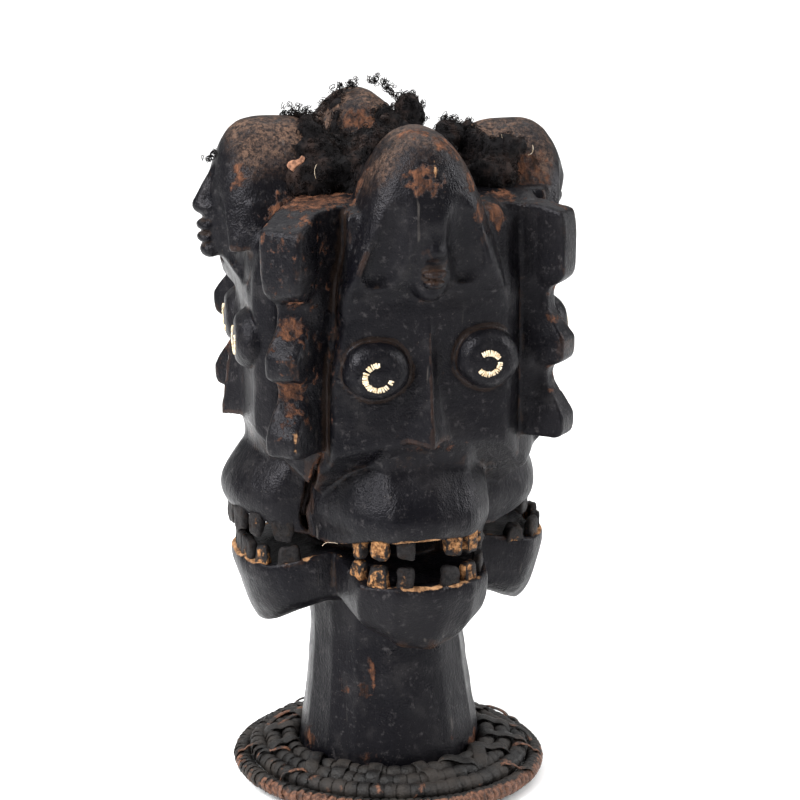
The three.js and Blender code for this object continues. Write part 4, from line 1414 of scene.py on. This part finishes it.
def top_height(radius, angle):
    """The height of the coils' upper surface, or of the valley between two of them."""
    best = 4.0
    for coil in COILS:
        across = abs(radius - coil["ring"])
        wrapped = coil["coil"] + WRAP_BULGE
        rise = math.sqrt(wrapped ** 2 - across ** 2) if across < wrapped else -9
        best = max(best, coil_height(coil, angle) + rise)
    return best


# Straps that lash the inner coils to the neck: degrees round from the camera's line, positive to the
# right, then how far out each reaches and its slant in degrees.
STRAPS = [
    (-73, 84, 3), (-42, 83, 10), (-25, 82, 2), (-7, 81.5, -1), (19, 82, 6), (40, 79, 16), (58, 80, -18),
    (66, 83, 14), (86, 92, 8), (104, 84, -6), (125, 82, 5), (148, 84, -4), (171, 82, 8), (195, 83, -5),
    (219, 84, 6), (243, 82, -8), (266, 84, 4),
]
STRAP_START = 60.8
STRAP_WIDTH = 9.2
STRAP_THICK = 1.9
# Thin strips that cross the outer coils: degrees at both ends, then how far out both ends are.
STRIPS = [
    (-82, -76, 102, 86), (-70, -62, 92, 71), (-88, -112, 80, 64), (-96, -128, 84, 70), (-47, -38, 96, 84),
    (55, 68, 88, 103), (79, 86, 84, 102), (96, 108, 98, 74), (118, 132, 102, 84), (150, 163, 86, 102),
    (186, 174, 100, 80), (214, 226, 84, 102),
]
STRIP_WIDTH = 3.6
STRIP_THICK = 1.3


def strap_path(start_angle, end_angle, start, end):
    """A strip's route over the coils, from one radius to another."""
    path = []
    for share in np.linspace(0, 1, 22):
        angle = math.radians(start_angle + (end_angle - start_angle) * share + CAMERA_AZIMUTH - 90)
        radius = start + (end - start) * share
        height = max(top_height(radius + d, angle) - abs(d) * 0.45 for d in (-3, -1.5, 0, 1.5, 3))
        dip = 4.5 * (abs(2 * share - 1) ** 8)
        path.append((radius * math.cos(angle), radius * math.sin(angle), height + 0.5 - dip))
    return path


def make_basket(finish):
    """The coils, then the straps and strips that lie over them."""
    weave = coil_weave()
    for number, coil in enumerate(COILS):
        name = f"cane_coil_{number + 1}"
        holder = mesh_object(name, [(0, 0, 0)], [])
        thing = weave.grow(
            holder, Ring=coil["ring"] * MM, Coil=coil["coil"] * MM, Low=coil["low"] * MM,
            Rise=coil["rise"] * MM, Wraps=coil["wraps"], Slant=coil["slant"], Seed=SEED + number,
            Material=finish)
        points = read_points(thing.data)
        write_points(thing.data, points)
        reach = np.hypot(points[:, 0], points[:, 1])
        side = step(reach, coil["ring"] - 1, coil["ring"] + 5)
        near = 0.35 + 0.65 * np.clip(-points[:, 1] / 90, 0, 1)
        add_mask(thing.data, "rubbed", (coil["side_wear"] * side + coil["wear"]) * near)
        place_basket_piece(thing)
    strap = strap_weave()
    wide = []
    for around, reach, slant in STRAPS:
        wide.append(strap_path(around - slant / 2, around + slant / 2, STRAP_START, reach))
    lashing = strap.grow(
        path_object("cane_straps", wide), Width=STRAP_WIDTH * MM, Thick=STRAP_THICK * MM, Material=finish)
    thin = [strap_path(*strip) for strip in STRIPS]
    strips = strap.grow(
        path_object("cane_strips", thin), Width=STRIP_WIDTH * MM, Thick=STRIP_THICK * MM, Material=finish)
    for thing, worn in ((lashing, 0.12), (strips, 0.5)):
        write_points(thing.data, read_points(thing.data))
        add_mask(thing.data, "rubbed", np.full(len(thing.data.vertices), worn))
        place_basket_piece(thing)


def place_basket_piece(thing):
    """Says what a piece of the basketry rides on and stands for."""
    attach(thing, "root")
    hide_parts("basket_foot")


# The hair

# Tufts that stand off the mass: middle and halves.
TUFTS = [
    ((-50, -28, 412), (22, 20, 15)), ((-42, 6, 421), (20, 22, 11)), ((-56, -14, 424), (16, 22, 12)),
    ((-15, 70, 428), (10, 12, 13)), ((33, 72, 429), (10, 12, 12)), ((9, 34, 437), (7, 5, 5)),
    ((38, -8, 429), (10, 10, 10)), ((52, -4, 424), (9, 10, 8)), ((74, -30, 425), (9, 8, 6)),
    ((-54, 0, 437), (12, 20, 5)), ((56, -36, 407), (18, 14, 13)), ((64, -28, 418), (13, 12, 9)),
]
# Where the scalp shows through: middle and halves.
BARE_PATCHES = [
    ((-6, 40, 449), (28, 28, 16)), ((-9, 34, 432), (14, 24, 25)), ((14, 32, 432), (8, 14, 10)),
    ((96, -30, 408), (14, 16, 14)),
]
# How far out the hair reaches over the tops of the front, right, back and left small heads, and how
# much further for each millimetre down their backs.
HAIR_EDGE = [(57, 0), (54, 0.65), (56, 0), (56, 0.78)]
# Curls strewn over the hair in each of their layers.
CURLS_EACH = 2300
CURL_LAYERS = 3
# Loose wisps: points along the way of each.
WISPS = [
    [(-68, 5, 446), (-62, 5, 449), (-56, 5, 449), (-48, 4, 445), (-41, 4, 438)],
    [(-66, 8, 441), (-57, 6, 444), (-49, 6, 440)],
    [(-24, 76, 436), (-18, 76, 442), (-12, 76, 446), (-4, 76, 450)],
    [(-4, 74, 449), (-2, 74, 453)],
    [(8, 75, 450), (11, 75, 453), (18, 75, 449), (24, 75, 443), (30, 74, 439)],
    [(34, -8, 437), (39, -8, 440), (44, -8, 436)],
    [(50, -3, 432), (54, -3, 433), (58, -3, 431)],
    [(-117, -5, 423), (-115, -5, 425), (-118, -5, 421)],
]


def hair_field(points):
    """The mass of hair between the small heads, and where it climbs onto their backs."""
    x, y, z = points.T
    field = ball(x, y, z, (0, 0, 395), (61, 61, 37))
    for quarters, face in enumerate(FACES):
        u, v = turned(x, y, quarters)
        pad = dome_field(u, v, z, face) - 3.2
        reach, spread = HAIR_EDGE[quarters]
        edge = reach + spread * np.clip(440 - z, 0, 40) + 5 * lattice_noise(points, 9, 21)
        pad = soft_max(soft_max(pad, v - edge, 5), 404 - z, 4)
        field = soft_min(field, pad, 5)
    for centre, halves in TUFTS:
        field = soft_min(field, ball(x, y, z, centre, halves), 4)
    for centre, halves in BARE_PATCHES:
        field = soft_max(field, -ball(x, y, z, centre, halves), 3)
    return field + 3.0 * lattice_noise(points, 11, 22) + 1.9 * lattice_noise(points, 5, 23)


def curl_weave(scattered):
    """Small springy curls of hair, scattered over a surface or strung loosely along paths."""
    w = Weave("curls", Spacing="Float", Stray="Float", Size="Float", Seed="Int", Material="Material")
    if scattered:
        points = w.add("GeometryNodeDistributePointsOnFaces", w.given("Geometry"), None, w.given("Spacing"),
                       w.given("Seed"))
    else:
        points = w.add("GeometryNodeCurveToPoints", w.given("Geometry"), w.given("Spacing"), mode="LENGTH")
    stray = w.math("MULTIPLY", w.given("Stray"), -1.0)
    low = w.add("ShaderNodeCombineXYZ", stray, stray, stray)
    high = w.add("ShaderNodeCombineXYZ", w.given("Stray"), w.given("Stray"), w.given("Stray"))
    shift = w.add("FunctionNodeRandomValue", low, high, None, w.given("Seed"), data_type="FLOAT_VECTOR")
    points = w.add("GeometryNodeSetPosition", points, None, None, shift)
    spiral = w.add("GeometryNodeCurveSpiral", 7, 1.9, 1.0 * MM, 1.9 * MM, 2.2 * MM)
    curl = w.add("GeometryNodeCurveToMesh", spiral, w.add("GeometryNodeCurvePrimitiveCircle", 3, 0.24 * MM))
    turn = w.add("FunctionNodeRandomValue", (-math.pi,) * 3, (math.pi,) * 3, None, w.given("Seed"),
                 data_type="FLOAT_VECTOR")
    rotation = w.add("FunctionNodeEulerToRotation", turn)
    scale = w.add("FunctionNodeRandomValue", 0.6, 1.35, None, w.given("Seed"), data_type="FLOAT")
    size = w.math("MULTIPLY", scale, w.given("Size"))
    w.finish(w.add("GeometryNodeInstanceOnPoints", points, None, curl, None, None, rotation, size))
    return w


def make_hair(finish):
    """The mass, the layers of curls that stand off it, and the loose wisps."""
    values, origin = sampled_field(hair_field, HAIR_CELL)
    vertices, quads = surface_net(values, origin, HAIR_CELL)
    vertices = settle(hair_field, vertices, 1)
    mass = mesh_object("hair_mass", vertices * MM, quads)
    mass.data.materials.append(finish)
    pieces = [mass]
    strewn = curl_weave(True)
    for number in range(CURL_LAYERS):
        holder = mesh_object(f"hair_curls_{number + 1}", vertices * MM, quads)
        area = sum(polygon.area for polygon in holder.data.polygons)
        pieces.append(strewn.grow(
            holder, Spacing=CURLS_EACH / area, Stray=1.3 * MM, Size=1.0, Seed=SEED + number,
            Material=finish))
    strung = curl_weave(False)
    pieces.append(strung.grow(
        path_object("hair_wisps", WISPS), Spacing=0.62 * MM, Stray=2.6 * MM, Size=1.0, Seed=SEED,
        Material=finish))
    for piece in pieces:
        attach(piece, "root")
        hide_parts("hair")


# Small loose things

# Pale fibres as arcs seen from the camera's side: middle, radius across and up, start and end degrees.
PALE_FIBRES = [
    ((-10, -66, 436), 3.6, 4, 20, 330), ((-14, -65, 438), 3.2, 4.4, 120, 230),
    ((72, -35, 434), 7, 7, 185, 262), ((-57, -56, 420), 4, 7, 130, 215),
    ((-54, -66, 178), 7, 6, 60, 150), ((79, -36, 424), 6, 5, 300, 380),
]
FIBRE_RADIUS = 0.19


def fibre_path(middle, wide, tall, start, end):
    """A fibre's curved route, facing the camera."""
    azimuth = math.radians(CAMERA_AZIMUTH)
    right = np.array([math.cos(azimuth), math.sin(azimuth), 0])
    angles = np.radians(np.linspace(start, end, 24))
    sway = np.sin(angles * 3 + wide) * 0.5
    lift = np.outer((tall * np.sin(angles) + sway), [0, 0, 1])
    return (np.array(middle, float) + np.outer(wide * np.cos(angles), right) + lift).tolist()


def fibre_weave():
    """A thin round thread along each path."""
    w = Weave("thin fibre", Radius="Float", Material="Material")
    smooth = w.add("GeometryNodeResampleCurve", w.given("Geometry"), None, 24)
    section = w.add("GeometryNodeCurvePrimitiveCircle", 5, w.given("Radius"))
    w.finish(w.add("GeometryNodeCurveToMesh", smooth, section, None, True))
    return w


def make_fibres(finish):
    """Pale fibres caught in the hair and at a mouth's corner."""
    paths = [fibre_path(*fibre) for fibre in PALE_FIBRES]
    fibres = fibre_weave().grow(
        path_object("pale_fibres", paths), Radius=FIBRE_RADIUS * MM, Material=finish)
    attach(fibres, "root")


CHIP_PLACE = (-70, -46, 424.5)
CHIP_HALVES = (5.4, 0.8, 2.3)


def unit(vector):
    """The vector at length 1."""
    return vector / np.linalg.norm(vector)


def make_chip(finish):
    """A flat chip of tan wood caught in the hair by the left head."""
    block, quads = rounded_block(4, 12)
    points = block * CHIP_HALVES
    points[:, 2] *= 1 - 0.4 * block[:, 0]
    points[:, 2] += 1.6 * np.sin(points[:, 0] * 0.45)
    points[:, 0] += 1.3 * lattice_noise(points + 40, 3, 31)
    along = unit(np.array([0.62, 0.1, 0.78]))
    toward = np.array([-0.25, -0.88, 0.2])
    toward = unit(toward - along * (toward @ along))
    side = np.cross(along, toward)
    place = np.array(CHIP_PLACE) + points @ np.stack([along, toward, side])
    chip = mesh_object("caught_chip", place * MM, quads)
    chip.data.materials.append(finish)
    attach(chip, "root")


# Camera, light and floor

CAMERA_ELEVATION = 16
# One pixel of the picture, at the crest's axis.
PIXEL = 0.65 * MM
FRAME_PIXELS = 800
DISTANCE_PIXELS = 3000
SHIFT_PIXELS = 12
CAMERA_DISTANCE = DISTANCE_PIXELS * PIXEL
AXIS_SHIFT = SHIFT_PIXELS * PIXEL
SENSOR = 36
AIM_HEIGHT = 0.255
LIGHT_AIM = Vector((0, 0, 0.25))
FLOOR_HALF = 6
WORLD_STRENGTH = 0.2

# Name, place, size and power of each light, in metres and watts.
LIGHTS = [
    ("left window", (-1.75, -0.75, 1.75), (1.2, 1.3), 125),
    ("right fill", (1.9, -0.35, 1.0), (0.7, 1.4), 45),
    ("front card", (0.5, -2.4, 0.8), (1.6, 1.2), 4),
    ("overhead", (0.2, 1.6, 4.6), (8, 8), 430),
]


def make_camera():
    """The photograph's view: a little from the left and from above."""
    azimuth, elevation = math.radians(CAMERA_AZIMUTH), math.radians(CAMERA_ELEVATION)
    level = math.cos(elevation)
    forward = Vector((-math.sin(azimuth) * level, math.cos(azimuth) * level, -math.sin(elevation)))
    right = Vector((math.cos(azimuth), math.sin(azimuth), 0))
    data = bpy.data.cameras.new("camera")
    data.sensor_width = SENSOR
    data.lens = SENSOR * CAMERA_DISTANCE / PIXEL / FRAME_PIXELS
    camera = bpy.data.objects.new("camera", data)
    aim = Vector((0, 0, AIM_HEIGHT)) + right * AXIS_SHIFT
    camera.location = aim - forward * CAMERA_DISTANCE
    camera.rotation_euler = forward.to_track_quat("-Z", "Y").to_euler()
    bpy.context.scene.collection.objects.link(camera)
    bpy.context.scene.camera = camera


def add_light(name, place, size, power):
    """A soft rectangular light turned to the crest."""
    data = bpy.data.lights.new(name, "AREA")
    data.shape = "RECTANGLE"
    data.size, data.size_y = size
    data.energy = power
    light = bpy.data.objects.new(name, data)
    light.location = place
    light.rotation_euler = (LIGHT_AIM - Vector(place)).to_track_quat("-Z", "Y").to_euler()
    bpy.context.scene.collection.objects.link(light)


def make_stage():
    """The pale floor, the surrounding light and the lamps."""
    corners = [(x * FLOOR_HALF, y * FLOOR_HALF, 0) for x, y in ((-1, -1), (1, -1), (1, 1), (-1, 1))]
    floor = mesh_object("floor", corners, [(0, 1, 2, 3)], False)
    paint = Finish("pale floor", 0.6)
    paint.shader.inputs["Base Color"].default_value = (0.93, 0.93, 0.93, 1)
    floor.data.materials.append(paint.material)
    world = bpy.data.worlds.new("world")
    world.use_nodes = True
    background = world.node_tree.nodes["Background"]
    background.inputs["Color"].default_value = (1, 1, 1, 1)
    background.inputs["Strength"].default_value = WORLD_STRENGTH
    bpy.context.scene.world = world
    for light in LIGHTS:
        add_light(*light)


carving = make_carving()
carving.data.materials.append(skin_finish())
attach(carving, "root")
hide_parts("crest_carving")

tooth = tooth_finish()
splint = inlay_finish()
for number, name in enumerate(sorted(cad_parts)):
    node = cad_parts[name]
    seed = SEED * 100 + number * 2
    if name.startswith("tooth_"):
        make_tooth(node, tooth, seed)
    elif name.startswith("eye_inlay_"):
        make_inlay(node, splint, seed)

make_basket(cane_finish())
make_hair(hair_finish())
make_fibres(fibre_finish())
make_chip(chip_finish())
make_camera()
make_stage()
bpy.context.scene.view_settings.view_transform = "Standard"
